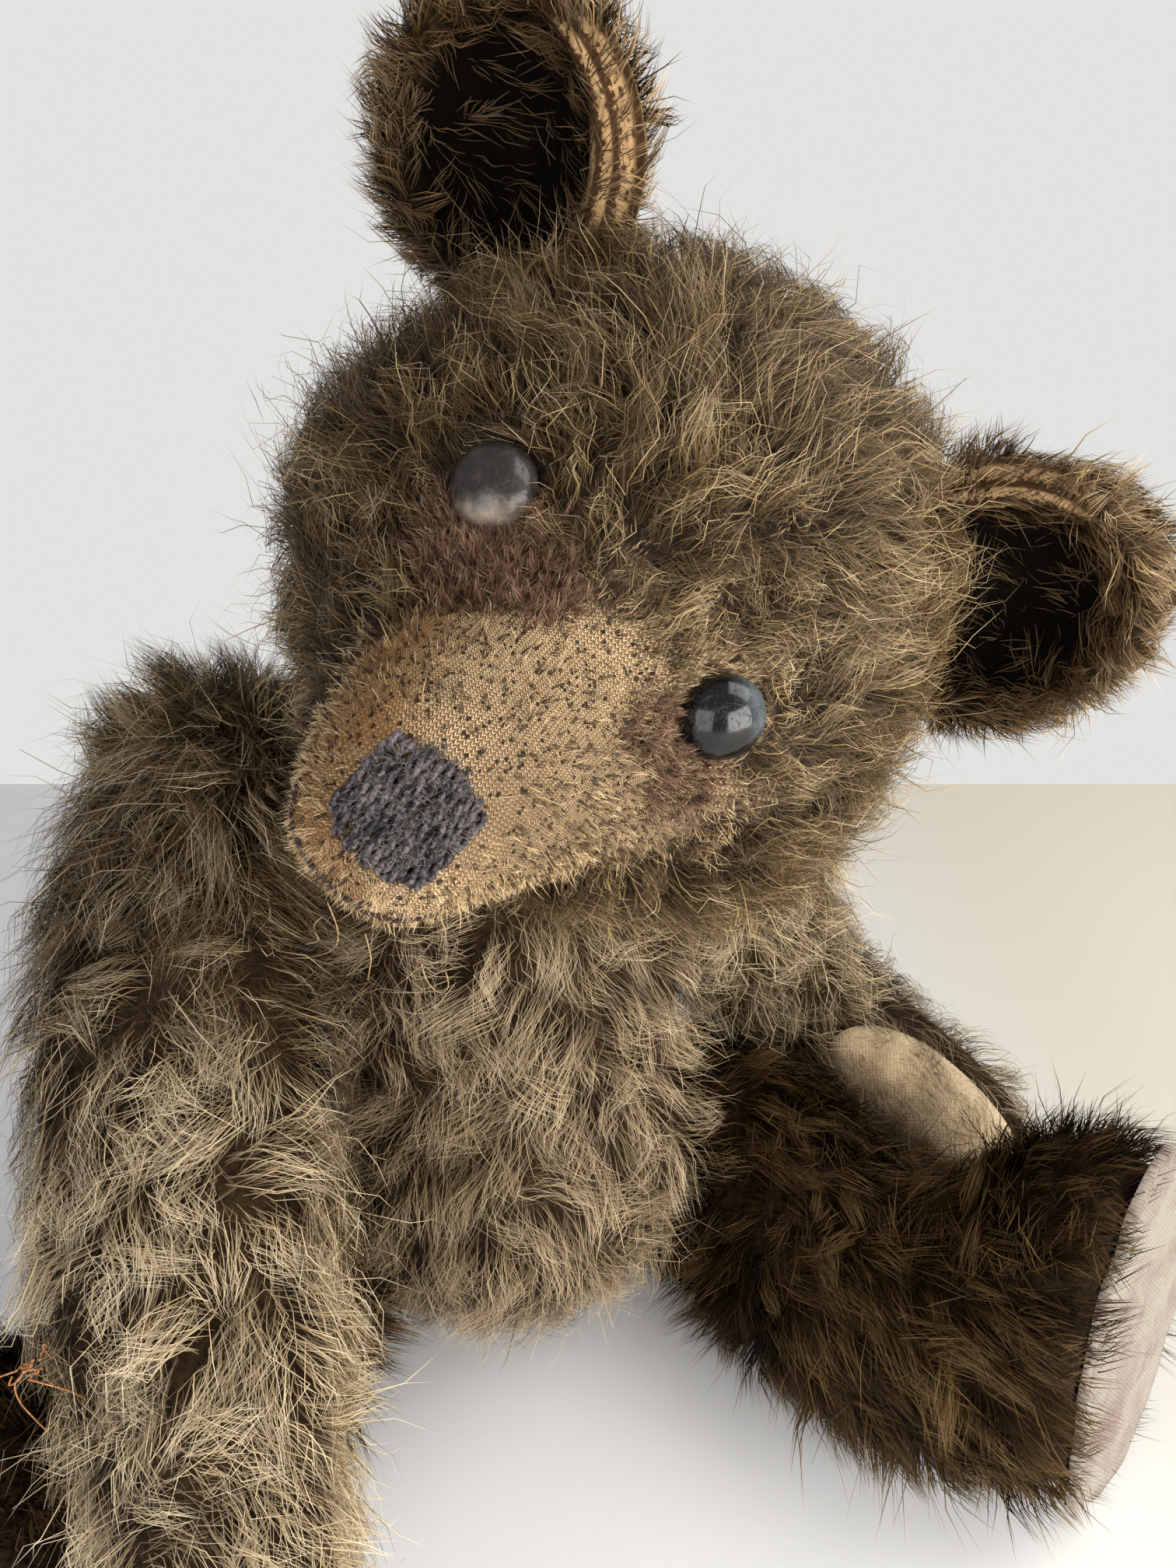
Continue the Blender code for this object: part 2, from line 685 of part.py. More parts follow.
def main():
    body = make_torso()
    make_arms(body)
    make_legs(body)
    make_head(body)
    bpy.context.view_layer.update()


main()
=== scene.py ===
"""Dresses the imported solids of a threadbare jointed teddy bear.

Each stuffed solid gets a smooth cloth skin and one or more coats of mohair pile, which grow in
wavy locks along a flow that suits the piece. The muzzle is bare knitted cloth with worn stubs,
the nose and mouth are sewn yarn, the eyes are scratched boot buttons and the pads are soiled
cloth. The bear faces -Y, +X is its own left and +Z is up. Lengths are in millimetres until a
mesh is written, which is in metres.
"""

from __future__ import annotations

import sys

import json
import logging
import math
from collections.abc import Callable, Mapping, Sequence
from dataclasses import dataclass, field, replace
from enum import Enum
from typing import Any

import bmesh
import bpy
import numpy as np
from mathutils import Matrix, Vector
from mathutils.bvhtree import BVHTree
from mathutils.kdtree import KDTree

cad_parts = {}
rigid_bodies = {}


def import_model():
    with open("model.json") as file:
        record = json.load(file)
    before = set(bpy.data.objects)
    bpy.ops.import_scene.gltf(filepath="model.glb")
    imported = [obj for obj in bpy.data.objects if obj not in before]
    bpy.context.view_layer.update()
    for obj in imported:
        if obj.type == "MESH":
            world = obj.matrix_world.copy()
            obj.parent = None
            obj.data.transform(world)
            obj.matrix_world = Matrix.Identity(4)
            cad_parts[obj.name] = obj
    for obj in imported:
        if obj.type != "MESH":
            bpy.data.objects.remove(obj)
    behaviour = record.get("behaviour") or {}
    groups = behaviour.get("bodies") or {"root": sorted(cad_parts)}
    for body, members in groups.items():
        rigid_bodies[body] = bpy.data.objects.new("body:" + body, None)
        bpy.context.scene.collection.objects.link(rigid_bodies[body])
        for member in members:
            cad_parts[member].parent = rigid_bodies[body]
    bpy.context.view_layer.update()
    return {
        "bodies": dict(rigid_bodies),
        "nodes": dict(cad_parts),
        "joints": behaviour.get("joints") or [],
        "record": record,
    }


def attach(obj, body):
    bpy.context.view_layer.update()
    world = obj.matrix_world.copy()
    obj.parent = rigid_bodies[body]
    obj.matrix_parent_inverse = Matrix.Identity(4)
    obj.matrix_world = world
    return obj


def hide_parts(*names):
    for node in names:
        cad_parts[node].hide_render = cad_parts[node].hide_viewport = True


LOG = logging.getLogger("bear")
MM = 0.001
BAKE_MAP = "OFBake"
WEAVE_MAP = "Weave"
ASKEW = (0.31, 0.55, 0.77)  # a direction that no yarn runs along
SKIN_GAP = 0.12
FLOOR_GAP = 0.25

Array = np.ndarray
Colour = tuple[float, float, float]
Tones = tuple[Colour, Colour, Colour]
Field = Callable[[Array, Array], Array]
PerPoint = Callable[[Array], Array]


class Side(Enum):
    """The bear's own right and left, with the sign of X on that side."""

    RIGHT = -1
    LEFT = 1

    @property
    def tag(self) -> str:
        """The word used in node names."""
        return self.name.lower()


class Op(Enum):
    """Sums on sockets, named as the Math node names them."""

    ADD = "ADD"
    SUBTRACT = "SUBTRACT"
    MULTIPLY = "MULTIPLY"
    DIVIDE = "DIVIDE"


# Shader sums and nodes


class Term:
    """One output socket, on which a material's sums are written as plain expressions."""

    def __init__(self, bench: Bench, socket: bpy.types.NodeSocket) -> None:
        """Keeps the socket and the bench that its sums are added to.

        Args:
            bench: The node tree's bench.
            socket: The output socket.
        """
        self.bench = bench
        self.socket = socket

    def _sum(self, op: Op, first: Term | float, second: Term | float) -> Term:
        """Adds one Math node."""
        return self.bench.add("ShaderNodeMath", {"operation": op.value}, {0: first, 1: second})

    def __add__(self, other: Term | float) -> Term:
        """Self plus other."""
        return self._sum(Op.ADD, self, other)

    def __sub__(self, other: Term | float) -> Term:
        """Self less other."""
        return self._sum(Op.SUBTRACT, self, other)

    def __rsub__(self, other: float) -> Term:
        """Other less self."""
        return self._sum(Op.SUBTRACT, other, self)

    def __mul__(self, other: Term | float) -> Term:
        """Self times other."""
        return self._sum(Op.MULTIPLY, self, other)

    def __rmul__(self, other: float) -> Term:
        """Other times self."""
        return self._sum(Op.MULTIPLY, other, self)

    def __truediv__(self, other: Term | float) -> Term:
        """Self divided by other."""
        return self._sum(Op.DIVIDE, self, other)

    def part(self, axis: str) -> Term:
        """One component of a vector.

        Args:
            axis: X, Y or Z.

        Returns:
            That component.
        """
        return self.bench.add("ShaderNodeSeparateXYZ", {}, {0: self}, axis)

    def sharpened(self, low: float, high: float) -> Term:
        """A smooth step.

        Args:
            low: The value that gives 0.
            high: The value that gives 1.

        Returns:
            The step, from 0 to 1.
        """
        values = {0: self, 1: low, 2: high}
        return self.bench.add("ShaderNodeMapRange", {"interpolation_type": "SMOOTHSTEP"}, values)


class Bench:
    """Adds the nodes of one material or world."""

    def __init__(self, owner: bpy.types.Material | bpy.types.World) -> None:
        """Empties the owner's node tree and adds its output.

        Args:
            owner: The material or world.
        """
        owner.use_nodes = True
        self.tree = owner.node_tree
        self.tree.nodes.clear()

    def add(
        self, kind: str, settings: Mapping[str, Any] | None = None,
        sockets: Mapping[Any, Any] | None = None, out: Any = 0
    ) -> Term:
        """Adds any node.

        Args:
            kind: The node's type.
            settings: Its settings, made first; a ramp's stops are (place, colour) pairs.
            sockets: Values or terms by socket name or number.
            out: Name or number of the output to return.

        Returns:
            That output.
        """
        node = self.tree.nodes.new(kind)
        for name, value in (settings or {}).items():
            if name == "stops":
                while len(node.color_ramp.elements) < len(value):
                    node.color_ramp.elements.new(1.0)
                for element, (place, colour) in zip(node.color_ramp.elements, value):
                    element.position = place
                    element.color = (*colour, 1.0)
            else:
                setattr(node, name, value)
        for name, value in (sockets or {}).items():
            if isinstance(value, Term):
                self.tree.links.new(value.socket, node.inputs[name])
            else:
                wide = node.inputs[name].type == "RGBA" and len(value) == 3
                node.inputs[name].default_value = (*value, 1.0) if wide else value
        return Term(self, node.outputs[out]) if len(node.outputs) else Term(self, None)

    def mix(self, share: Term | float, first: Any, second: Any) -> Term:
        """Mixes two colours.

        Args:
            share: How much of the second, from 0 to 1.
            first: The first colour or term.
            second: The second colour or term.

        Returns:
            The mixed colour.
        """
        return self.add("ShaderNodeMix", {"data_type": "RGBA"}, {0: share, 6: first, 7: second}, 2)

    def ramp(self, share: Term, *stops: tuple[float, Colour]) -> Term:
        """A colour ramp.

        Args:
            share: Where on the ramp.
            stops: Places and their colours.

        Returns:
            The colour.
        """
        return self.add("ShaderNodeValToRGB", {"stops": stops}, {0: share})

    def place(self) -> Term:
        """The point in the object's own frame, in metres."""
        return self.add("ShaderNodeTexCoord", out="Object")

    def level(self, where: Term, frame: Matrix, normal: Colour, offset: float = 0.0) -> Term:
        """Distance beyond a plane given in a frame.

        Args:
            where: The point in metres.
            frame: The frame in metres.
            normal: The plane's direction in the frame, of any length.
            offset: The plane's level in millimetres times that length.

        Returns:
            The distance in millimetres times that length.
        """
        turned = frame.to_3x3() @ Vector(normal)
        sockets = {0: where, 1: tuple(turned / MM)}
        along = self.add("ShaderNodeVectorMath", {"operation": "DOT_PRODUCT"}, sockets, "Value")
        return along - (turned.dot(frame.translation) / MM + offset)

    def near(self, where: Term, frame: Matrix, place: Colour, reach: float) -> Term:
        """Share that is 1 at a place in a frame and 0 beyond its reach.

        Args:
            where: The point in metres.
            frame: The frame in metres.
            place: The place in the frame, in millimetres.
            reach: The reach in millimetres.

        Returns:
            The share.
        """
        middle = frame @ (Vector(place) * MM)
        sockets = {0: where, 1: tuple(middle)}
        gone = self.add("ShaderNodeVectorMath", {"operation": "DISTANCE"}, sockets, "Value")
        return 1 - gone.sharpened(0.3 * reach * MM, reach * MM)

    def map(self, name: str) -> Term:
        """A point of a named UV map."""
        return self.add("ShaderNodeUVMap", {"uv_map": name})

    def noise(self, where: Term, scale: float, detail: float = 2.0, rough: float = 0.5) -> Term:
        """Noise about 0.5.

        Args:
            where: The point.
            scale: Cells in a metre, or in a unit of the point.
            detail: Finer layers.
            rough: Strength of those layers.

        Returns:
            The noise.
        """
        sockets = {"Vector": where, "Scale": scale, "Detail": detail, "Roughness": rough}
        return self.add("ShaderNodeTexNoise", {}, sockets)

    def cells(self, where: Term, scale: float) -> Term:
        """Distance from the middle of round cells.

        Args:
            where: The point.
            scale: Cells in a unit.

        Returns:
            The distance.
        """
        return self.add("ShaderNodeTexVoronoi", {}, {"Vector": where, "Scale": scale})

    def sine(self, angle: Term) -> Term:
        """Sine of an angle in radians."""
        return self.add("ShaderNodeMath", {"operation": "SINE"}, {0: angle})

    def bump(self, height: Term, depth: float) -> Term:
        """A normal raised by a height.

        Args:
            height: The height, from 0 to 1.
            depth: Metres from 0 to 1.

        Returns:
            The normal.
        """
        return self.add("ShaderNodeBump", {}, {"Height": height, "Distance": depth, "Strength": 1.0})

    def surface(self, **sockets: Any) -> None:
        """Adds the shader and the output.

        Args:
            sockets: Values or terms by socket name, with _ for a space.
        """
        named = {name.replace("_", " "): value for name, value in sockets.items()}
        shader = self.add("ShaderNodeBsdfPrincipled", {}, named)
        self.add("ShaderNodeOutputMaterial", {}, {0: shader})


def new_finish(name: str) -> tuple[bpy.types.Material, Bench]:
    """Starts a material.

    Args:
        name: Its name.

    Returns:
        The material and its bench.
    """
    material = bpy.data.materials.new(name)
    return material, Bench(material)


# Finishes


@dataclass(frozen=True)
class Mohair:
    """Pile whose strands run from a dark and a faded colour range, by their tone. Both ranges darken towards
    the root as painted shade deep in the pile, and their bright tips are partly faded fibre and partly
    painted glints.
    """

    name: str
    dark: Tones = ((0.008, 0.004, 0.001), (0.04, 0.022, 0.008), (0.11, 0.066, 0.026))
    faded: Tones = ((0.04, 0.023, 0.009), (0.29, 0.19, 0.08), (0.86, 0.67, 0.4))
    gloss: float = 0.22

    def make(self) -> bpy.types.Material:
        """Makes the material: across the map is the strand's tone, up it is root to tip."""
        material, bench = new_finish(self.name)
        spot = bench.map(BAKE_MAP)
        tone, up = spot.part("X"), spot.part("Y")
        # Dark roots are painted shade between the strands; bright tips are partly painted glints.
        stops = (0.0, 0.45, 1.0)
        dark = bench.ramp(up, *zip(stops, self.dark))
        faded = bench.ramp(up, *zip(stops, self.faded))
        bench.surface(
            Base_Color=bench.mix(tone, dark, faded), Roughness=0.45, Specular_IOR_Level=self.gloss,
            Specular_Tint=(1.0, 0.86, 0.66, 1.0)
        )
        return material


@dataclass(frozen=True)
class Backing:
    """The cloth under the pile, painted dark as the shade deep in the pile."""

    name: str
    dark: Colour = (0.01, 0.005, 0.002)
    light: Colour = (0.05, 0.029, 0.012)

    def make(self) -> bpy.types.Material:
        """Makes the material from fine noise."""
        material, bench = new_finish(self.name)
        where = bench.place()
        fibre = bench.noise(where, 900.0, 4.0, 0.65)
        patch = bench.noise(where, 70.0, 2.0)
        # The dark colours are painted shade under the pile.
        colour = bench.mix((fibre * 0.7 + patch * 0.5).sharpened(0.4, 0.85), self.dark, self.light)
        bench.surface(
            Base_Color=colour, Roughness=0.92, Specular_IOR_Level=0.1, Normal=bench.bump(fibre, 0.0009)
        )
        return material


@dataclass(frozen=True)
class HeadCloth:
    """The head's cloth: backing painted dark as the shade under the pile, and worn golden knit over the
    muzzle with painted shade in amber low on its right.
    """

    name: str
    yarn: Colour = (1.0, 0.75, 0.44)
    gap: Colour = (0.28, 0.132, 0.046)
    hole: Colour = (0.02, 0.008, 0.003)
    amber: Colour = (0.64, 0.34, 0.125)
    grime: Colour = (0.24, 0.14, 0.066)
    mauve: Colour = (0.165, 0.068, 0.048)
    dark: Colour = (0.01, 0.005, 0.002)
    light: Colour = (0.06, 0.034, 0.014)
    wale: float = 0.72
    course: float = 0.55
    tuft_pitch: float = 1.25

    def make(self, head: HeadFrame) -> bpy.types.Material:
        """Makes the material.

        Args:
            head: The head's frame, for the places of the wear.

        Returns:
            The material.
        """
        material, bench = new_finish(self.name)
        where = bench.place()
        spot = bench.map(WEAVE_MAP)
        across, along, bare = spot.part("X"), spot.part("Y"), self._bare(bench, head, where)
        wobble = bench.noise(where, 260.0, 2.0)
        folded = {0: across + wobble * 0.4, 1: self.wale / 2}
        column = bench.add("ShaderNodeMath", {"operation": "PINGPONG"}, folded)
        slant = along + column * 1.1 + wobble * 0.5
        turn = 2 * math.pi / self.course
        stitch = bench.sine(slant * turn) * 0.5 + 0.5
        edge = (column / (self.wale / 2)).sharpened(0.0, 0.35)
        knit = stitch * edge
        fuzz = bench.noise(where, 1500.0, 3.0, 0.7)
        patch = bench.noise(where, 55.0, 3.0, 0.6)
        # Painted shade: the yarn turns amber low on the muzzle and on its right.
        amber = self._side(bench, head, where)
        gold = bench.mix(amber, self.yarn, self.amber)
        cloth = bench.mix((knit * 0.7 + fuzz * 0.65).sharpened(0.34, 0.68), self.gap, gold)
        cloth = bench.mix((patch - 0.5).sharpened(0.0, 0.2) * 0.45, cloth, self.grime)
        hole = 1 - bench.cells(spot, 1 / self.tuft_pitch).sharpened(0.19, 0.31)
        cloth = bench.mix(hole * 0.9, cloth, self.hole)
        for place, reach, share in head.stains:
            cloth = bench.mix(bench.near(where, head.matrix, place, reach) * share, cloth, self.mauve)
        fibre = bench.noise(where, 900.0, 4.0, 0.65)
        # The backing's dark colours are painted shade under the pile.
        backing = bench.mix(fibre.sharpened(0.35, 0.75), self.dark, self.light)
        relief = bare * (knit * 0.7 + fuzz * 0.35 - hole * 0.6) + (1 - bare) * fibre * 0.7
        bench.surface(
            Base_Color=bench.mix(bare, backing, cloth), Roughness=0.9, Normal=bench.bump(relief, 0.0012),
            Specular_IOR_Level=0.25
        )
        return material

    def _bare(self, bench: Bench, head: HeadFrame, where: Term) -> Term:
        """Share of bare cloth, 1 on the muzzle."""
        beyond = bench.level(where, head.matrix, (head.bare_x, -1.0, head.bare_z), head.bare_level)
        return (beyond + (bench.noise(where, 180.0, 3.0) - 0.5) * 9.0).sharpened(-3.0, 1.5)

    def _side(self, bench: Bench, head: HeadFrame, where: Term) -> Term:
        """Share of painted shade in amber, 1 low on the muzzle and on its right, the side away from the key
        lamp.
        """
        beyond = bench.level(where, head.matrix, (-0.9, 0.0, -0.45), 6.0)
        return (beyond + (bench.noise(where, 120.0, 3.0) - 0.5) * 12.0).sharpened(-5.0, 6.0)


@dataclass(frozen=True)
class EarCloth:
    """An ear's cloth: painted black in the hollow as its shade, dark elsewhere as the shade under the pile,
    and worn to tan knit along the rim.
    """

    name: str
    radii: tuple[float, float, float]
    worn_side: float
    black: Colour = (0.003, 0.002, 0.001)
    dark: Colour = (0.012, 0.007, 0.003)
    light: Colour = (0.07, 0.042, 0.018)
    tan: Colour = (0.43, 0.27, 0.13)
    seam: Colour = (0.055, 0.026, 0.012)
    rib: float = 1.3

    def make(self, frame: Matrix) -> bpy.types.Material:
        """Makes the material.

        Args:
            frame: The ear's frame, with its hollow towards -Y.

        Returns:
            The material.
        """
        material, bench = new_finish(self.name)
        where = bench.place()
        across = bench.level(where, frame, (1 / self.radii[0], 0, 0))
        up = bench.level(where, frame, (0, 0, 1 / self.radii[2]))
        front = bench.level(where, frame, (0, -1, 0))
        wide = across * across + up * up
        fibre = bench.noise(where, 900.0, 4.0, 0.65)
        thread = bench.noise(where, 1900.0, 2.0, 0.5)
        # The dark cloth is painted shade under the pile.
        cloth = bench.mix(fibre.sharpened(0.35, 0.75), self.dark, self.light)
        worn = (wide + (bench.noise(where, 200.0, 3.0) - 0.5) * 0.4).sharpened(0.5, 0.68)
        worn = worn * (across * self.worn_side).sharpened(0.2, 0.5) * (1 - up.sharpened(0.3, 0.65))
        ribs = bench.sine(wide * (self.radii[0] * math.pi / self.rib) + thread * 3.0) * 0.35
        dots = bench.cells(where, 1000 / self.rib).sharpened(0.16, 0.42)
        knit = bench.mix((thread + ribs).sharpened(0.25, 0.7) * dots, self.seam, self.tan)
        cloth = bench.mix(worn * front.sharpened(-5.0, -1.0), cloth, knit)
        # Painted shade: the hollow is black.
        hollow = (1 - wide.sharpened(0.42, 0.72)) * front.sharpened(-5.5, -3.5)
        bench.surface(
            Base_Color=bench.mix(hollow, cloth, self.black), Roughness=0.95, Specular_IOR_Level=0.05,
            Normal=bench.bump(fibre, 0.0008)
        )
        return material


@dataclass(frozen=True)
class Button:
    """A boot button's finish: dull and scratched to black and glossy."""

    name: str
    body: Colour
    scuff: Colour
    gloss: float
    wear: float
    rubbed: Colour
    towards: Colour

    def make(self, frame: Matrix) -> bpy.types.Material:
        """Makes the material, with fine scratches two ways and one side paler, partly wear and partly a
        painted highlight and reflection.

        Args:
            frame: The button's frame, with its axis along Z.

        Returns:
            The material.
        """
        material, bench = new_finish(self.name)
        where = bench.place()
        haze = bench.noise(where, 420.0, 5.0, 0.7)
        stretch = bench.add("ShaderNodeMapping", {}, {"Vector": where, "Scale": (3.5, 0.35, 2.0)})
        cross = bench.add("ShaderNodeMapping", {}, {"Vector": where, "Scale": (0.4, 3.0, 0.9)})
        scratch = bench.noise(stretch, 900.0, 6.0, 0.8).sharpened(0.56, 0.66)
        other = bench.noise(cross, 800.0, 6.0, 0.8).sharpened(0.57, 0.67)
        scratches = scratch + other
        worn = (haze.sharpened(0.4, 0.7) * self.wear + scratches * 0.35).sharpened(0.0, 1.3)
        # Painted highlight and reflection: one side of the button is paler, mixed with wear.
        side = (bench.level(where, frame, self.towards) + haze * 3.0).sharpened(2.6, 5.8)
        colour = bench.mix(worn, self.body, self.scuff)
        patchy = (haze * 0.5 + scratches * 0.5 + 0.3).sharpened(0.2, 1.1)
        colour = bench.mix(side * patchy, colour, self.rubbed)
        bench.surface(
            Base_Color=colour, Roughness=worn * 0.35 + self.gloss, Specular_IOR_Level=0.4,
            Normal=bench.bump(1 - scratches * 0.6, 0.00006), Coat_Weight=0.2, Coat_Roughness=0.1
        )
        return material


@dataclass(frozen=True)
class Wool:
    """Twisted yarn, fuzzy and two-ply."""

    name: str
    pale: Colour
    deep: Colour

    def make(self) -> bpy.types.Material:
        """Makes the material from fibre noise."""
        material, bench = new_finish(self.name)
        where = bench.place()
        fibre = bench.noise(where, 2600.0, 4.0, 0.7)
        patch = bench.noise(where, 320.0, 2.0)
        share = (fibre + patch * 0.4).sharpened(0.6, 0.92)
        bench.surface(
            Base_Color=bench.mix(share, self.deep, self.pale), Roughness=0.4, Specular_IOR_Level=0.35,
            Normal=bench.bump(fibre, 0.00022)
        )
        return material


@dataclass(frozen=True)
class PadCloth:
    """Pad cloth, woven or felted, with soiled patches."""

    name: str
    clean: Colour
    soiled: Colour
    pitch: float
    weave: float

    def make(self) -> bpy.types.Material:
        """Makes the material: two crossed threads, fibre and broad soiling."""
        material, bench = new_finish(self.name)
        spot = bench.map(WEAVE_MAP)
        where = bench.place()
        wobble = bench.noise(where, 220.0, 3.0)
        turn = 2 * math.pi / self.pitch
        over = bench.sine((spot.part("X") + wobble * 0.6) * turn)
        under = bench.sine((spot.part("Y") + wobble * 0.6) * turn)
        threads = over * under * 0.5 + 0.5
        fibre = bench.noise(where, 1300.0, 5.0, 0.75)
        relief = threads * self.weave + fibre * (1 - self.weave)
        stain = bench.noise(where, 60.0, 4.0, 0.65).sharpened(0.42, 0.68)
        speck = bench.noise(where, 420.0, 4.0, 0.7).sharpened(0.5, 0.75)
        share = stain * 0.6 + speck * 0.3 + (1 - relief) * 0.45
        bench.surface(
            Base_Color=bench.mix(share, self.clean, self.soiled), Roughness=0.93,
            Normal=bench.bump(relief, 0.001), Sheen_Weight=0.3, Sheen_Roughness=0.5
        )
        return material


@dataclass(frozen=True)
class Hardware:
    """Steel or fibreboard of the joints inside."""

    name: str
    base: Colour
    tarnish: Colour
    metal: float
    rough: float

    def make(self) -> bpy.types.Material:
        """Makes the material, with tarnish and a fine grain."""
        material, bench = new_finish(self.name)
        where = bench.place()
        patch = bench.noise(where, 240.0, 5.0, 0.7).sharpened(0.45, 0.7)
        grain = bench.noise(where, 1400.0, 3.0, 0.6)
        bench.surface(
            Base_Color=bench.mix(patch, self.base, self.tarnish), Roughness=patch * 0.25 + self.rough,
            Metallic=self.metal * (1 - patch * 0.5), Normal=bench.bump(grain, 0.0001)
        )
        return material


# Frames and small sums on points


@dataclass(frozen=True)
class HeadFrame:
    """The head's frame, with its origin at the middle of the head and the muzzle towards -Y."""

    pivot: Colour = (0.0, -6.0, 122.0)
    swivel: float = -38.0
    tip: float = 38.0
    nod: float = -15.0
    centre: float = 34.0
    level: float = 4.0
    bare_x: float = 0.29
    bare_z: float = 0.3
    bare_level: float = 42.0
    eye: Colour = (17.0, -34.0, 9.0)
    eye_axis: Colour = (0.4, -0.86, 0.3)
    muzzle: Colour = (0.0, -58.0, -12.0)
    stains: tuple[tuple[Colour, float, float], ...] = (
        ((-13.0, -38.0, 5.0), 9.0, 0.85),
        ((-6.0, -39.5, 7.0), 5.5, 0.55),
        ((12.5, -39.0, 5.0), 5.5, 0.32),
        ((19.0, -37.0, 1.5), 5.5, 0.36),
    )

    @property
    def turn(self) -> Matrix:
        """The frame about its pivot, in metres."""
        swivel = Matrix.Rotation(math.radians(self.swivel), 4, "Z")
        tip = Matrix.Rotation(math.radians(self.tip), 4, "Y")
        nod = Matrix.Rotation(math.radians(self.nod), 4, "X")
        return Matrix.Translation(Vector(self.pivot) * MM) @ swivel @ tip @ nod

    @property
    def matrix(self) -> Matrix:
        """The frame at the middle of the head, in metres."""
        return self.turn @ Matrix.Translation((0, 0, self.centre * MM))

    def local(self, points: Array) -> Array:
        """Points in millimetres brought into the head's frame."""
        return carried(points, self.matrix.inverted())

    def world(self, points: Array) -> Array:
        """Points in millimetres taken out of the head's frame."""
        return carried(points, self.matrix)

    def turned(self, directions: Array) -> Array:
        """Directions taken out of the head's frame."""
        return directions @ np.array(self.matrix.to_3x3()).T


def carried(points: Array, matrix: Matrix) -> Array:
    """Moves points.

    Args:
        points: Points in millimetres.
        matrix: A matrix in metres.

    Returns:
        The moved points in millimetres.
    """
    grid = np.array(matrix)
    return points @ grid[:3, :3].T + grid[:3, 3] / MM


def unit(vectors: Array) -> Array:
    """Vectors of length 1."""
    return vectors / np.maximum(np.linalg.norm(vectors, axis=-1, keepdims=True), 1e-9)


def step(values: Array, low: float, high: float) -> Array:
    """A smooth step from 0 at low to 1 at high."""
    share = np.clip((values - low) / (high - low), 0.0, 1.0)
    return share * share * (3.0 - 2.0 * share)


def drift(points: Array, size: float, seed: int) -> Array:
    """Smooth noise.

    Args:
        points: Points in millimetres.
        size: Rough size of its waves in millimetres.
        seed: Picks the noise.

    Returns:
        One value a point, mostly from -1 to 1.
    """
    rng = np.random.default_rng(seed)
    total = np.zeros(len(points))
    waves = 7
    for _ in range(waves):
        heading = unit(rng.normal(size=3))
        pace = 2 * math.pi / size * rng.uniform(0.6, 1.5)
        total += np.sin(points @ heading * pace + rng.uniform(0, 2 * math.pi))
    return total / math.sqrt(waves)


def along_skin(directions: Array, normals: Array) -> Array:
    """Directions laid flat on the skin."""
    flat = directions - normals * np.sum(directions * normals, axis=1, keepdims=True)
    return unit(flat)


def swung(directions: Array, normals: Array, angles: Array) -> Array:
    """Directions on the skin turned about its normals by angles in radians."""
    across = np.cross(normals, directions)
    return directions * np.cos(angles)[:, None] + across * np.sin(angles)[:, None]


# Meshes


def new_object(
    name: str, mesh: bpy.types.Mesh, material: bpy.types.Material | None = None
) -> bpy.types.Object:
    """Adds an object.

    Args:
        name: Its name.
        mesh: Its mesh, in the shared frame.
        material: Its finish.

    Returns:
        The object.
    """
    ob = bpy.data.objects.new(name, mesh)
    bpy.context.scene.collection.objects.link(ob)
    if material:
        mesh.materials.clear()
        mesh.materials.append(material)
    return ob


def fetched(items: Any, key: str, width: int, kind: type = np.float32) -> Array:
    """Reads one value of each of a mesh's items.

    Args:
        items: The mesh's points, corners or triangles.
        key: The value's name.
        width: How many numbers it has.
        kind: What kind of number.

    Returns:
        A row of numbers for each item.
    """
    flat = np.zeros(len(items) * width, kind)
    items.foreach_get(key, flat)
    return flat.reshape(-1, width)


def add_map(mesh: bpy.types.Mesh, name: str, spots: Array) -> None:
    """Gives a mesh a map.

    Args:
        mesh: The mesh.
        name: The map's name.
        spots: The map's place for each point.
    """
    corners = fetched(mesh.loops, "vertex_index", 1, np.int32).ravel()
    layer = mesh.uv_layers.new(name=name)
    layer.data.foreach_set("uv", spots[corners].astype(np.float32).ravel())


def triangles_mesh(
    name: str, points: Array, faces: Array, spots: Array, normals: Array | None
) -> bpy.types.Mesh:
    """A mesh of triangles with a map.

    Args:
        name: Its name.
        points: Its points in millimetres.
        faces: Three point numbers a face.
        spots: The map's place for each point.
        normals: Shading normals for each point, or None.

    Returns:
        The mesh in metres.
    """
    mesh = bpy.data.meshes.new(name)
    mesh.vertices.add(len(points))
    mesh.loops.add(faces.size)
    mesh.polygons.add(len(faces))
    mesh.vertices.foreach_set("co", (points * MM).astype(np.float32).ravel())
    mesh.loops.foreach_set("vertex_index", faces.astype(np.int32).ravel())
    mesh.polygons.foreach_set("loop_start", np.arange(0, faces.size, 3, dtype=np.int32))
    mesh.update(calc_edges=True)
    mesh.polygons.foreach_set("use_smooth", np.ones(len(faces), bool))
    add_map(mesh, BAKE_MAP, spots)
    if normals is not None:
        mesh.normals_split_custom_set_from_vertices(normals.astype(np.float32))
    return mesh


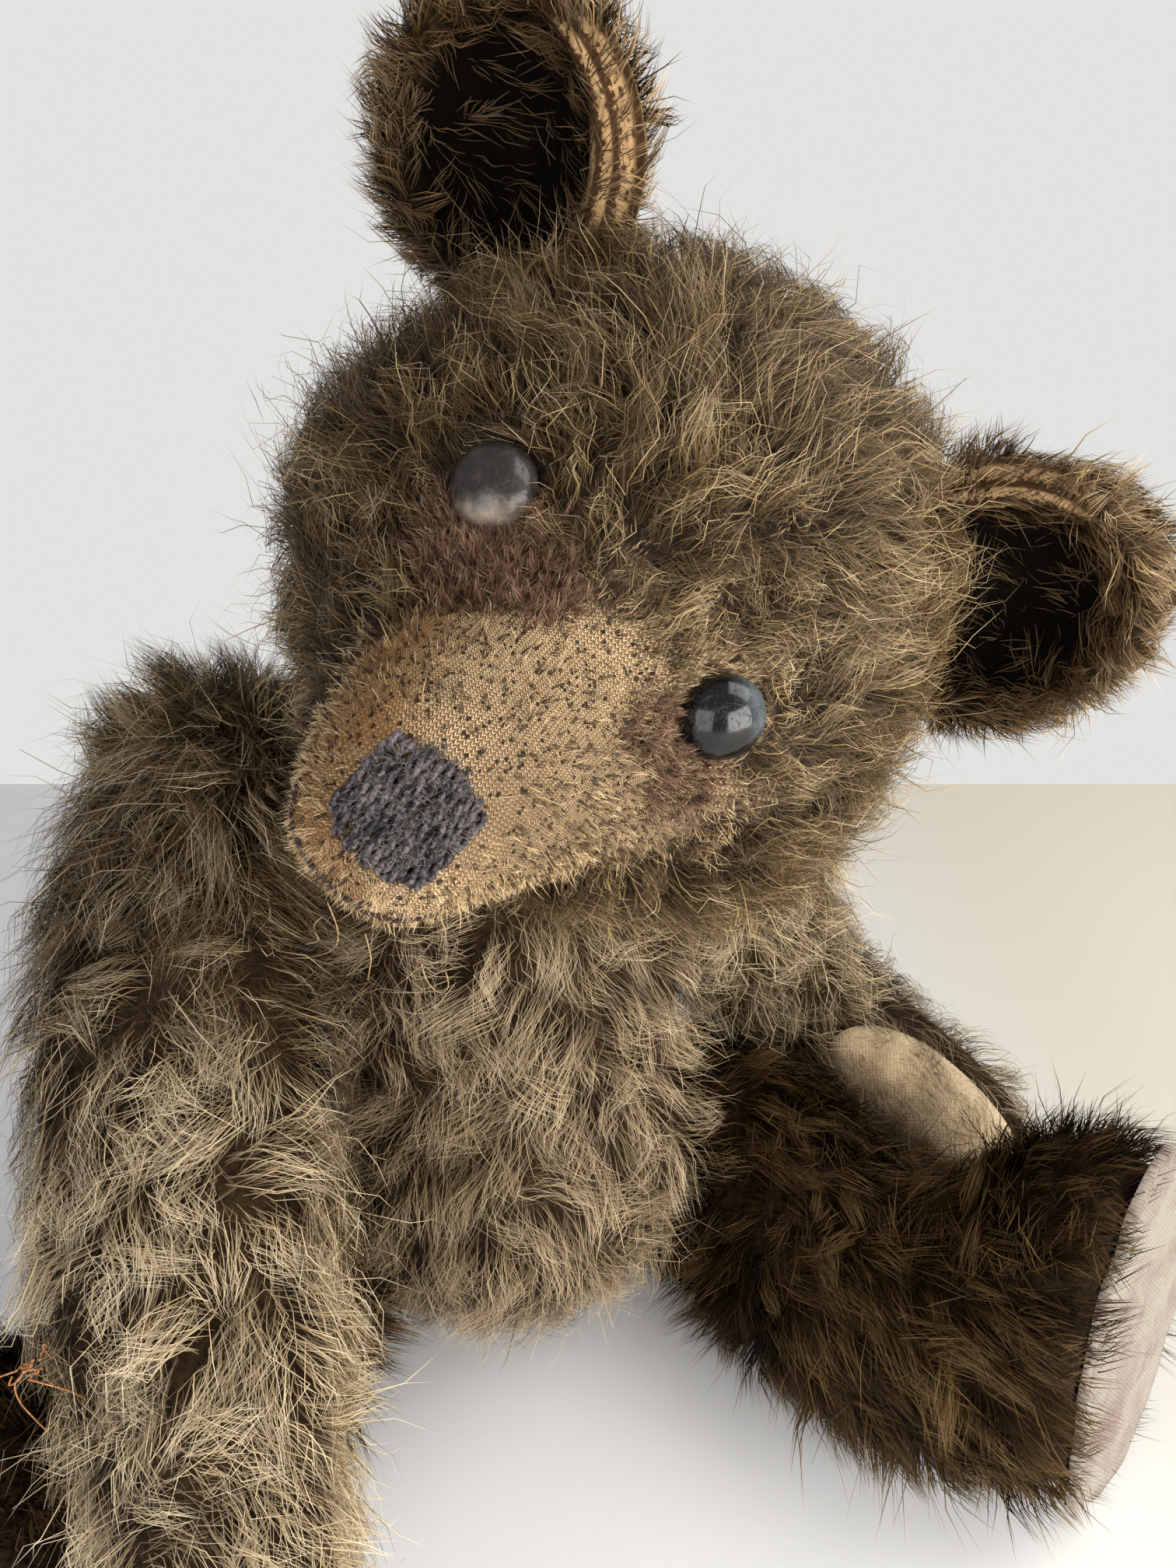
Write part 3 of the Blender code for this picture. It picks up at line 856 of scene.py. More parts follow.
def tube(path: Array, radius: float, sides: int) -> tuple[Array, Array]:
    """A closed round tube along a path.

    Args:
        path: Points in millimetres.
        radius: Its radius.
        sides: Sides round it.

    Returns:
        Points, and faces of three point numbers.
    """
    count = len(path)
    heading = unit(np.gradient(path, axis=0))
    side = unit(np.cross(heading[0], ASKEW))
    rings = []
    for i in range(count):
        side = unit(side - heading[i] * (side @ heading[i]))
        other = np.cross(heading[i], side)
        turns = np.arange(sides) * 2 * math.pi / sides
        ring = np.outer(np.cos(turns), side) + np.outer(np.sin(turns), other)
        rings.append(path[i] + ring * radius)
    points = np.concatenate([*rings, path[:1], path[-1:]])
    faces = []
    for i in range(count - 1):
        for j in range(sides):
            a, b = i * sides + j, i * sides + (j + 1) % sides
            faces += [(a, b, b + sides), (a, b + sides, a + sides)]
    first, last = count * sides, count * sides + 1
    end = (count - 1) * sides
    for j in range(sides):
        k = (j + 1) % sides
        faces += [(first, k, j), (last, end + j, end + k)]
    return points, np.array(faces)


def rounded(corners: Array, count: int) -> Array:
    """A smooth line of count points through a few corners.

    Args:
        corners: The corners, in millimetres.
        count: How many points.

    Returns:
        The line's points.
    """
    run = np.linspace(0, len(corners) - 1, count)
    line = np.stack([np.interp(run, range(len(corners)), axis) for axis in corners.T], axis=1)
    for _ in range(12):
        line[1:-1] = (line[:-2] + line[1:-1] * 2 + line[2:]) / 4
    return line


def joined(parts: Sequence[tuple[Array, Array]]) -> tuple[Array, Array]:
    """Joins meshes given as points and faces."""
    starts = np.cumsum([0] + [len(points) for points, _ in parts])
    return np.concatenate([p for p, _ in parts]), np.concatenate([f + s for (_, f), s in zip(parts, starts)])


@dataclass(frozen=True)
class Seat:
    """Where a disc joint or the neck meets a stuffed piece, and how far round it is bare of pile."""

    place: Colour
    axis: Colour
    disc: float
    bare: float = 27.0

    def depth_and_reach(self, points: Array) -> tuple[Array, Array]:
        """Distance of points from the joint's plane and from its axis, in millimetres.

        Args:
            points: Points in millimetres.

        Returns:
            Both distances of each point.
        """
        away = points - np.array(self.place)
        axis = unit(np.array(self.axis, float))
        depth = away @ axis
        reach = np.linalg.norm(away - np.outer(depth, axis), axis=1)
        return np.abs(depth), reach


@dataclass
class Skin:
    """A smooth cloth skin over one stuffed solid."""

    node: str
    body: str
    seats: Sequence[Seat]
    voxel: float = 2.5
    rounds: int = 8
    inset: float = 0.6
    fill: float = 0.85
    lip: float = 0.4
    pocket: float = 14.5
    rim: float = 1.2
    weld: float = 0.002
    ob: bpy.types.Object = field(init=False)
    points: Array = field(init=False)
    normals: Array = field(init=False)
    faces: Array = field(init=False)
    tree: BVHTree = field(init=False)

    def build(self, solid: bpy.types.Object, name: str) -> Skin:
        """Copies the solid, closes its joint pockets, evens it out and measures it.

        Args:
            solid: The CAD node.
            name: The new piece's name.

        Returns:
            This skin.
        """
        shape = bmesh.new()
        shape.from_mesh(solid.data)
        self._close_pockets(shape)
        mesh = bpy.data.meshes.new(name)
        shape.to_mesh(mesh)
        shape.free()
        rough = new_object(f"{name}_rough", mesh)
        even = rough.modifiers.new("even", "REMESH")
        even.mode = "VOXEL"
        even.voxel_size = self.voxel * MM
        soften = rough.modifiers.new("soften", "SMOOTH")
        soften.factor = 0.5
        soften.iterations = self.rounds
        graph = bpy.context.evaluated_depsgraph_get()
        final = bpy.data.meshes.new_from_object(rough.evaluated_get(graph))
        bpy.data.objects.remove(rough)
        final.name = name
        self._read(final)
        moved = self.points - self.normals * self.inset
        final.vertices.foreach_set("co", (moved * MM).astype(np.float32).ravel())
        final.update()
        final.shade_smooth()
        self.points = moved
        self.tree = BVHTree.FromPolygons(moved.tolist(), self.faces.tolist())
        self.ob = new_object(name, final)
        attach(self.ob, self.body)
        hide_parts(self.node)
        LOG.info("%s: %d faces", name, len(self.faces))
        return self

    def _close_pockets(self, shape: bmesh.types.BMesh) -> None:
        """Removes the faces of the pockets inside and closes their pin holes.

        Args:
            shape: The solid's mesh.
        """
        bmesh.ops.remove_doubles(shape, verts=shape.verts, dist=self.weld * MM)
        shape.faces.ensure_lookup_table()
        middles = np.array([f.calc_center_median() for f in shape.faces]) / MM
        inside = np.zeros(len(middles), bool)
        for seat in self.seats:
            depth, reach = seat.depth_and_reach(middles)
            inside |= (depth > self.lip) & (depth < self.pocket) & (reach < seat.disc + self.rim)
        doomed = [f for f, gone in zip(shape.faces, inside) if gone]
        bmesh.ops.delete(shape, geom=doomed, context="FACES")
        open_edges = [e for e in shape.edges if e.is_boundary]
        bmesh.ops.holes_fill(shape, edges=open_edges, sides=0)

    def _read(self, mesh: bpy.types.Mesh) -> None:
        """Reads points, normals and triangles from the mesh, in millimetres.

        Args:
            mesh: The mesh.
        """
        mesh.calc_loop_triangles()
        self.points = fetched(mesh.vertices, "co", 3).astype(float) / MM
        self.normals = unit(fetched(mesh.vertices, "normal", 3).astype(float))
        self.faces = fetched(mesh.loop_triangles, "vertices", 3, np.int32)

    def scatter(self, count: int, rng: np.random.Generator, density: Field) -> tuple[Array, Array]:
        """Picks random places on the skin.

        Args:
            count: How many.
            rng: Random numbers.
            density: Relative density at points with their normals.

        Returns:
            The places and their normals.
        """
        corners = self.points[self.faces]
        sides = np.cross(corners[:, 1] - corners[:, 0], corners[:, 2] - corners[:, 0])
        area = np.linalg.norm(sides, axis=1) / 2
        weight = area * density(corners.mean(1), unit(self.normals[self.faces].mean(1)))
        total = np.cumsum(weight)
        found = np.searchsorted(total, rng.random(count) * total[-1])
        found = np.minimum(found, len(area) - 1)
        a, b = rng.random(count), rng.random(count)
        over = a + b > 1
        a[over], b[over] = 1 - a[over], 1 - b[over]
        share = np.stack([1 - a - b, a, b], axis=1)[:, :, None]
        places = (corners[found] * share).sum(1)
        normals = unit((self.normals[self.faces[found]] * share).sum(1))
        return places, normals

    def lifted(self, points: Array, clear: Array) -> Array:
        """Points pushed out of the skin.

        Args:
            points: Points in millimetres.
            clear: The least height of each above the skin.

        Returns:
            The points, moved where they were too low.
        """
        out = points.copy()
        find = self.tree.find_nearest
        for i, point in enumerate(points):
            near, normal, _, _ = find(point)
            height = (point[0] - near[0]) * normal[0] + (point[1] - near[1]) * normal[1]
            height += (point[2] - near[2]) * normal[2]
            if height < clear[i]:
                out[i] += (clear[i] - height) * np.array(normal)
        return out


# Pile


@dataclass(frozen=True)
class Lay:
    """How a coat of pile lies. Lengths in millimetres, angles in degrees."""

    strands: int
    length: float = 9.0
    vary: float = 0.38
    per_lock: float = 24.0
    clump: float = 0.6
    lift: float = 56.0
    fall: float = 8.0
    bend: float = 34.0
    wave: float = 1.25
    waves: float = 1.05
    swing: float = 32.0
    swirl: float = 40.0
    swirl_size: float = 20.0
    stir: float = 15.0
    width: float = 0.105
    levels: int = 4
    tone: float = 0.34
    tone_vary: float = 0.2
    # spark lifts a few random strands to the bright end of the tones, as painted glints.
    spark: float = 0.75
    strays: float = 0.05
    stray_length: float = 1.3


@dataclass
class Coat:
    """One coat of pile on a skin."""

    name: str
    skin: Skin
    lay: Lay
    flow: Field
    density: Field
    seed: int
    reach: PerPoint | None = None
    shade: PerPoint | None = None
    ruffle: PerPoint | None = None
    keep_clear: PerPoint | None = None

    def build(self, material: bpy.types.Material) -> bpy.types.Object:
        """Grows the coat.

        Args:
            material: The pile's finish.

        Returns:
            The coat as one piece.
        """
        rng = np.random.default_rng(self.seed)
        lay = self.lay
        roots, normals, heads, member = self._plant(rng)
        count, locks = len(roots), len(heads)
        swing = rng.normal(0, math.radians(lay.swing), locks)
        swing += drift(roots[heads], lay.swirl_size, self.seed) * math.radians(lay.swirl)
        flow = along_skin(self.flow(roots, normals), normals)
        lock_flow = swung(flow[heads], normals[heads], swing)
        own_flow = along_skin(lock_flow[member], normals)
        own_flow = swung(own_flow, normals, rng.normal(0, math.radians(lay.stir), count))
        size = self.reach(roots) if self.reach else np.ones(count)
        lock_size = rng.uniform(1 - lay.vary, 1 + lay.vary, locks) * size[heads] * lay.length
        scale = lock_size / np.maximum(size[heads] * lay.length, 1e-6)
        own_size = size * lay.length * scale[member]
        own_size = own_size * rng.uniform(0.72, 1.08, count)
        stray = rng.random(count) < lay.strays
        own_size[stray] *= lay.stray_length
        raised = self.ruffle(roots[heads]) if self.ruffle else np.zeros(locks)
        lift = np.radians(lay.lift + rng.normal(0, 9, locks) + 0.5 * raised)
        fall = np.radians(lay.fall + rng.normal(0, 7, locks) + raised)
        phase = rng.uniform(0, 2 * math.pi, locks)
        waves = lay.waves * rng.uniform(0.6, 1.4, locks)
        wave = lay.wave * rng.uniform(0.4, 1.5, locks) * np.minimum(1, lock_size / 6)
        core = self._lines(
            roots[heads], normals[heads], lock_flow, lock_size, lift, fall, (wave, waves, phase)
        )
        extra = np.radians(rng.normal(0, 10, count)) + stray * math.radians(20)
        own_wave = (
            wave[member] * rng.uniform(0.5, 1.8, count),
            waves[member] * rng.uniform(0.7, 1.3, count),
            phase[member] + rng.normal(0, 0.9, count),
        )
        lines = self._lines(
            roots, normals, own_flow, own_size, lift[member] + extra, fall[member] + extra, own_wave
        )
        along = np.linspace(0, 1, lay.levels + 1)
        tight = np.clip(lay.clump * rng.uniform(0.65, 1.25, locks), 0, 0.95)[member]
        pull = (tight[:, None] * along**1.3)[:, :, None] * (~stray)[:, None, None]
        hug = (0.6 - 0.3 * along)[None, :, None]
        away = (roots - roots[heads][member])[:, None, :]
        ratio = np.clip(own_size / np.maximum(lock_size[member], 1e-6), 0.6, 1.3)[:, None, None]
        base = core[member][:, :1, :]
        gathered = base + (core[member] - base) * ratio + away * hug
        lines = lines * (1 - pull) + gathered * pull
        lines = self._clear(lines, rng)
        tone = lay.tone + rng.normal(0, lay.tone_vary, locks)[member]
        # A few random strands are lifted towards the bright tips, as painted glints on the pile.
        tone += lay.spark * (rng.random(count) ** 5 - 0.17) + stray * 0.4
        if self.shade:
            tone += self.shade(roots)
        mesh = self._ribbons(lines, normals, np.clip(tone, 0.02, 0.98), rng)
        coat = new_object(self.name, mesh, material)
        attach(coat, self.skin.body)
        LOG.info("%s: %d strands, %d faces", self.name, count, len(mesh.polygons))
        return coat

    def _plant(self, rng: np.random.Generator) -> tuple[Array, Array, Array, Array]:
        """Roots for the strands.

        Args:
            rng: Random numbers.

        Returns:
            Places, normals, the strand that leads each lock, and each strand's lock.
        """
        roots, normals = self.skin.scatter(self.lay.strands, rng, self.density)
        locks = max(4, int(len(roots) / self.lay.per_lock))
        heads = rng.choice(len(roots), locks, replace=False)
        return roots, normals, heads, self._nearest(roots, roots[heads])

    @staticmethod
    def _nearest(points: Array, centres: Array) -> Array:
        """The number of the nearest centre for each point.

        Args:
            points: Points in millimetres.
            centres: The centres.

        Returns:
            A number for each point.
        """
        tree = KDTree(len(centres))
        for i, centre in enumerate(centres):
            tree.insert(centre, i)
        tree.balance()
        return np.array([tree.find(point)[1] for point in points])

    def _lines(
        self, roots: Array, normals: Array, flow: Array, size: Array,
        lift: Array, fall: Array, curl: tuple[Array, Array, Array]
    ) -> Array:
        """Middle lines of strands.

        Args:
            roots: Where they start.
            normals: The skin's normals there.
            flow: The way they lie.
            size: Their lengths.
            lift: Their angle off the skin at the root, in radians.
            fall: The same at the tip.
            curl: Height, number and phase of their waves.

        Returns:
            Points by strand and level.
        """
        levels = self.lay.levels
        along = np.linspace(0, 1, levels + 1)
        middle = (along[:-1] + along[1:]) / 2
        angle = lift[:, None] + (fall - lift)[:, None] * middle[None, :] ** 0.7
        stride, start = (size / levels)[:, None], np.zeros((len(roots), 1))
        forward, upward = (
            np.concatenate([start, np.cumsum(wave(angle) * stride, 1)], 1) for wave in (np.cos, np.sin)
        )
        upward -= forward**2 / (2 * self.lay.bend)
        height, number, phase = (x[:, None] for x in curl)
        turn = 2 * math.pi * number * along[None, :] + phase
        fade = along[None, :] ** 0.8
        sideways = height * (np.sin(turn) - np.sin(phase)) * fade
        bounce = 0.45 * height * (np.cos(turn) - np.cos(phase)) * fade
        across = np.cross(normals, flow)
        lines = roots[:, None, :] + flow[:, None, :] * forward[:, :, None]
        lines = lines + normals[:, None, :] * (upward + bounce)[:, :, None]
        return lines + across[:, None, :] * sideways[:, :, None]

    def _clear(self, lines: Array, rng: np.random.Generator) -> Array:
        """Keeps strands out of the skin, the floor and whatever else is to be kept clear.

        Args:
            lines: Points by strand and level.
            rng: Random numbers.

        Returns:
            The points, moved where they were too low.
        """
        count, levels, _ = lines.shape
        low = SKIN_GAP + 0.5 * np.linspace(0, 1, levels)[None, 1:] * rng.random((count, 1))
        outer = self.skin.lifted(lines[:, 1:].reshape(-1, 3), low.ravel())
        lines = np.concatenate([lines[:, :1], outer.reshape(count, levels - 1, 3)], axis=1)
        if self.keep_clear:
            lines = self.keep_clear(lines.reshape(-1, 3)).reshape(lines.shape)
        lines[:, :, 2] = np.maximum(lines[:, :, 2], FLOOR_GAP)
        return lines

    def _ribbons(
        self, lines: Array, normals: Array, tone: Array, rng: np.random.Generator
    ) -> bpy.types.Mesh:
        """Tapered ribbons round middle lines.

        Args:
            lines: Points by strand and level.
            normals: The skin's normals at the roots.
            tone: From 0, dark, to 1, faded; the brightest are partly painted glints.
            rng: Random numbers.

        Returns:
            The mesh.
        """
        count, rows, _ = lines.shape
        levels = rows - 1
        heading = unit(np.gradient(lines, axis=1))
        skyward = np.broadcast_to(normals[:, None, :], heading.shape)
        side = unit(np.cross(heading, skyward))
        roll = rng.uniform(-0.9, 0.9, count)[:, None, None]
        out = np.cross(side, heading)
        side = side * np.cos(roll) + out * np.sin(roll)
        face = unit(np.cross(side, heading))
        flip = np.sign(np.sum(face[:, rows // 2] * normals, axis=1))
        flip[flip == 0] = 1
        side = side * flip[:, None, None]
        face = face * flip[:, None, None]
        along = np.linspace(0, 1, rows)
        taper = (1 - 0.72 * along**1.5)[None, :, None]
        half = self.lay.width / 2 * rng.uniform(0.7, 1.3, count)[:, None, None] * taper
        left, right = lines - side * half, lines + side * half
        body = np.stack([left[:, :-1], right[:, :-1]], axis=2).reshape(count, levels * 2, 3)
        points = np.concatenate([body, lines[:, -1:]], axis=1)
        shading = unit(skyward * 0.6 + face * 0.6 + heading * 0.12)
        pairs = np.repeat(shading[:, :-1], 2, axis=1)
        shading = np.concatenate([pairs, shading[:, -1:]], axis=1)
        spots = np.zeros((count, levels * 2 + 1, 2))
        spots[:, :, 0] = tone[:, None]
        spots[:, 0:-1:2, 0] -= 0.006
        spots[:, 1:-1:2, 0] += 0.006
        rise = 0.02 + 0.96 * along
        spots[:, :-1, 1] = np.repeat(rise[:-1], 2)[None, :]
        spots[:, -1, 1] = rise[-1]
        one = []
        for i in range(levels - 1):
            a = 2 * i
            one += [(a, a + 1, a + 3), (a, a + 3, a + 2)]
        a = 2 * (levels - 1)
        one.append((a, a + 1, a + 2))
        start = np.arange(count)[:, None, None] * (levels * 2 + 1)
        faces = (start + np.array(one)[None]).reshape(-1, 3)
        return triangles_mesh(
            self.name, points.reshape(-1, 3), faces, spots.reshape(-1, 2), shading.reshape(-1, 3)
        )


@dataclass
class Tufts(Coat):
    """Short stubs in rows, where the rest of the pile is worn away."""

    grid: PerPoint | None = None
    pitch: tuple[float, float] = (2.3, 1.9)
    kept: float = 0.8
    spread: float = 0.17

    def _plant(self, rng: np.random.Generator) -> tuple[Array, Array, Array, Array]:
        """Roots in one small bunch for each cell of the grid.

        Args:
            rng: Random numbers.

        Returns:
            Places, normals, the strand that leads each bunch, and each strand's bunch.
        """
        places, normals = self.skin.scatter(self.lay.strands * 4, rng, self.density)
        spots = self.grid(places) / np.array(self.pitch)
        cell = np.floor(spots).astype(int)
        aim = 0.5 + 0.28 * np.sin(cell @ np.array([[12.9, 4.1], [78.2, 37.7]]))
        gap = np.linalg.norm(spots - cell - aim, axis=1)
        order = np.lexsort((gap, cell[:, 1], cell[:, 0]))
        _, first = np.unique(cell[order], axis=0, return_index=True)
        centres = order[first]
        centres = centres[rng.random(len(centres)) < self.kept]
        each = max(1, self.lay.strands // len(centres))
        member = np.repeat(np.arange(len(centres)), each)
        shift = rng.normal(0, self.spread, (len(member), 3))
        normals = normals[centres][member]
        shift -= normals * np.sum(shift * normals, axis=1, keepdims=True)
        return places[centres][member] + shift, normals, np.arange(len(centres)) * each, member


# Sub-assemblies


@dataclass
class Plush:
    """What all stuffed sub-assemblies share: the frame's nodes, the joints' seats and a skin."""

    nodes: Mapping[str, bpy.types.Object]
    seats: Mapping[str, Seat]
    flat_depth: float = 0.6
    skin: Skin = field(init=False)

    def stand_up(self, points: Array) -> Array:
        """Degrees that pile is pushed up by, where two stuffed pieces press on it.

        Args:
            points: Points in millimetres.

        Returns:
            The degrees.
        """
        degrees = np.zeros(len(points))
        for seat in self.skin.seats:
            depth, reach = seat.depth_and_reach(points)
            near = (1 - step(depth, 3.0, 13.0)) * (1 - step(reach, 30.0, 40.0))
            degrees = np.maximum(degrees, 46.0 * near)
        return degrees

    def bare_seats(self, density: Array, points: Array) -> Array:
        """Takes pile off the flats of joints.

        Args:
            density: Density so far.
            points: Points in millimetres.

        Returns:
            The density with those flats bare.
        """
        for seat in self.skin.seats:
            depth, reach = seat.depth_and_reach(points)
            density = density * ~((depth < self.flat_depth) & (reach < seat.bare))
        return density


@dataclass
class Body(Plush):
    """The body's skin and pile."""

    strands: int = 20000

    def build(self) -> None:
        """Builds the skin."""
        names = [f"{joint}_{side.tag}" for joint in ("shoulder", "hip") for side in Side]
        seats = [self.seats[name] for name in (*names, "neck_body")]
        self.skin = Skin("torso", "body", seats).build(self.nodes["torso"], "body_cloth")

    def density(self, points: Array, normals: Array) -> Array:
        """Pile density, most on the belly and round the neck, and none underneath."""
        front = 0.75 + 0.7 * step(-normals[:, 1], 0.0, 0.6)
        return self.bare_seats(front * (points[:, 2] > 2.0) + 1.5 * self.ruff(points), points)

    def flow(self, points: Array, normals: Array) -> Array:
        """Pile runs down and a little outwards, and up round the neck."""
        up = 2.2 * self.ruff(points) - 1
        return np.stack([np.sign(points[:, 0]) * 0.15, np.zeros(len(points)), up], axis=1)

    def ruff(self, points: Array) -> Array:
        """Share that is 1 round the neck."""
        depth, reach = self.seats["neck_body"].depth_and_reach(points)
        return (1 - step(depth, 4.0, 9.0)) * (1 - step(reach, 19.0, 28.0))

    def dress(self) -> None:
        """Gives the skin its cloth and grows the pile."""
        self.skin.ob.data.materials.append(Backing("body_backing").make())
        pile = Mohair(
            "body_mohair", dark=((0.02, 0.012, 0.006), (0.1, 0.066, 0.032), (0.2, 0.14, 0.072)),
            faded=((0.06, 0.04, 0.02), (0.4, 0.29, 0.165), (0.82, 0.66, 0.44))
        )
        lay = Lay(self.strands, length=10.5, levels=3, tone=0.56, bend=45, width=0.125)
        Coat(
            "body_pile", self.skin, lay, self.flow, self.density, 11,
            reach=lambda points: 1 + 0.35 * self.ruff(points), ruffle=self.stand_up
        ).build(pile.make())


@dataclass
class Limb(Plush):
    """An arm's or leg's skin, pile and pad."""

    node: str = ""
    pad: str = ""
    joint: str = ""
    path: Sequence[Colour] = ()
    lay: Lay = Lay(20000)
    pile: Mohair = Mohair("mohair")
    cloth: PadCloth = PadCloth("pad", (0.6, 0.5, 0.4), (0.3, 0.2, 0.1), 0.8, 0.3)
    droop: float = 0.35
    mane: float = 0.0
    seed: int = 1
    crown: float = 0.7
    pad_rise: float = 1.6
    pad_scale: float = 1.0
    pad_shift: float = 0.0
    pad_way: Colour = (0.0, 0.0, -1.0)
    pad_edge: float = 1.6
    flat_pad: bool = False
    pad_under: float = 5.0
    crest: bool = False
    crest_top: Colour = (-2.0, 2.0, 11.0)
    crest_reach: float = 21.0
    crest_strands: int = 3200
    pad_tree: BVHTree = field(init=False)
    pad_out: Array = field(init=False)
    pad_middle: Array = field(init=False)
    pad_axes: Array = field(init=False)

    def build(self) -> None:
        """Builds the skin and the pad."""
        self.skin = Skin(self.node, self.node, [self.seats[self.joint]]).build(
            self.nodes[self.node], f"{self.node}_cloth"
        )
        self._build_pad()

    def _build_pad(self) -> None:
        """A crowned pad of cloth sewn over the CAD pad's place, with a map for its weave."""
        solid = self.nodes[self.pad]
        cloud = fetched(solid.data.vertices, "co", 3).astype(float) / MM
        middle = (cloud.max(0) + cloud.min(0)) / 2
        _, _, axes = np.linalg.svd(cloud - cloud.mean(0), full_matrices=False)
        long, wide, out = axes
        _, normal, _, _ = self.skin.tree.find_nearest(middle)
        out = out * np.sign(out @ np.array(normal))
        wide = np.cross(out, long)
        self.pad_out = out
        half = [np.ptp((cloud - middle) @ axis) / 2 * self.pad_scale for axis in (wide, long)]
        middle = middle + long * np.sign(long @ np.array(self.pad_way)) * self.pad_shift
        self.pad_middle = middle
        self.pad_axes = np.stack([wide / half[0], long / half[1]])
        rings, around, above, far = 16, 72, 25, 45
        points, spots, faces = [], [], []
        turns = np.arange(around) * 2 * math.pi / around
        for i in range(rings + 2):
            share = min(i / rings, 1.0)
            x, y = np.cos(turns) * half[0] * share, np.sin(turns) * half[1] * share
            start = middle + np.outer(x, wide) + np.outer(y, long) + out * above
            low = i > rings
            rise = self.pad_rise + self.crown * (1 - step(np.full(around, share), 0.3, 1.0))
            rise = rise - (self.pad_rise - 0.25) * step(np.full(around, share), 0.86, 1.0)
            for origin, lift in zip(start, rise):
                hit, skyward = origin - out * above, out
                if not self.flat_pad:
                    hit, skyward, _, _ = self.skin.tree.ray_cast(Vector(origin), Vector(-out))
                    if hit is None or (Vector(origin) - hit).length > far:
                        hit, skyward, _, _ = self.skin.tree.find_nearest(Vector(origin - out * above))
                points.append(np.array(hit) + unit(np.array(skyward) + out) * (-1.2 if low else lift))
            spots.append(np.stack([x, y], axis=1))
            if i:
                for j in range(around):
                    a, c = (i - 1) * around + j, (i - 1) * around + (j + 1) % around
                    faces += [(a, c, c + around), (a, c + around, a + around)]
        points, spots, faces = np.array(points), np.concatenate(spots), np.array(faces)
        keep = (faces[:, 0] != faces[:, 1]) & (faces[:, 1] != faces[:, 2])
        points[:around] = points[:around].mean(0)
        points += out * (0.22 * drift(points, 10.0, self.seed))[:, None]
        mesh = bpy.data.meshes.new(f"{self.pad}_cloth")
        mesh.from_pydata((points * MM).tolist(), [], faces[keep].tolist())
        add_map(mesh, WEAVE_MAP, spots)
        shape = bmesh.new()
        shape.from_mesh(mesh)
        bmesh.ops.remove_doubles(shape, verts=shape.verts, dist=self.skin.weld * MM)
        bmesh.ops.recalc_face_normals(shape, faces=shape.faces)
        shape.to_mesh(mesh)
        shape.free()
        mesh.shade_smooth()
        piece = new_object(f"{self.pad}_cloth", mesh, self.cloth.make())
        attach(piece, self.node)
        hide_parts(self.pad)
        self.pad_tree = BVHTree.FromPolygons(points.tolist(), faces[keep].tolist())
        LOG.info("%s: %d faces", piece.name, len(mesh.polygons))

    def density(self, points: Array, normals: Array) -> Array:
        """Pile density, none under the pad, on the joint's flat or on the table.

        Args:
            points: Points in millimetres.
            normals: The skin's normals there; not used.

        Returns:
            A density for each point.
        """
        kept = np.ones(len(points)) * (points[:, 2] > 1.5)
        for i, point in enumerate(points):
            if self.pad_tree.find_nearest(point, self.pad_edge)[0] is not None:
                kept[i] = 0.0
        if self.flat_pad:
            away = points - self.pad_middle
            under = np.linalg.norm(away @ self.pad_axes.T, axis=1) < 0.95
            kept[under & (away @ self.pad_out > -self.pad_under)] = 0.0
        return self.bare_seats(kept * self.reach(points) ** 2, points)

    def reach(self, points: Array) -> Array:
        """Share of full length: longer near the joint, and shorter beside a flat pad.

        Args:
            points: Points in millimetres.

        Returns:
            A share for each point.
        """
        gap = np.linalg.norm(points - np.array(self.path[0]), axis=1)
        size = 1 + self.mane * (1 - step(gap, 22.0, 45.0))
        if self.flat_pad:
            size *= 0.72 + 0.28 * step(self.pad_gap(points), 1.0, 12.0)
        return size

    def pad_gap(self, points: Array) -> Array:
        """Distance of points from the pad."""
        return np.array([self.pad_tree.find_nearest(point)[3] for point in points])

    def flow(self, points: Array, normals: Array) -> Array:
        """Pile runs along the limb and droops, and stands out beside a flat pad.

        Args:
            points: Points in millimetres.
            normals: The skin's normals there; not used.

        Returns:
            A direction for each point.
        """
        line = np.array(self.path)
        start, ways = line[:-1], np.diff(line, axis=0)
        away = points[:, None, :] - start[None]
        share = np.clip(np.sum(away * ways[None], 2) / np.sum(ways**2, 1)[None], 0, 1)
        gaps = np.linalg.norm(away - share[:, :, None] * ways[None], axis=2)
        weight = 1 / (gaps + 1.0) ** 3
        heading = unit((weight[:, :, None] * unit(ways)[None]).sum(1))
        if self.flat_pad:
            heading += np.outer(1.3 * (1 - step(self.pad_gap(points), 2.0, 9.0)), self.pad_out)
        return heading + np.array([0, 0, -self.droop])

    def dress(self) -> None:
        """Gives the skin its cloth and grows the pile."""
        if self.crest:
            self._grow_crest()
        self.skin.ob.data.materials.append(Backing(f"{self.node}_backing").make())
        Coat(
            f"{self.node}_pile", self.skin, self.lay, self.flow, self.density, self.seed, reach=self.reach,
            shade=lambda points: -self.mane * step(points[:, 1], -52.0, -22.0), ruffle=self.stand_up
        ).build(self.pile.make())

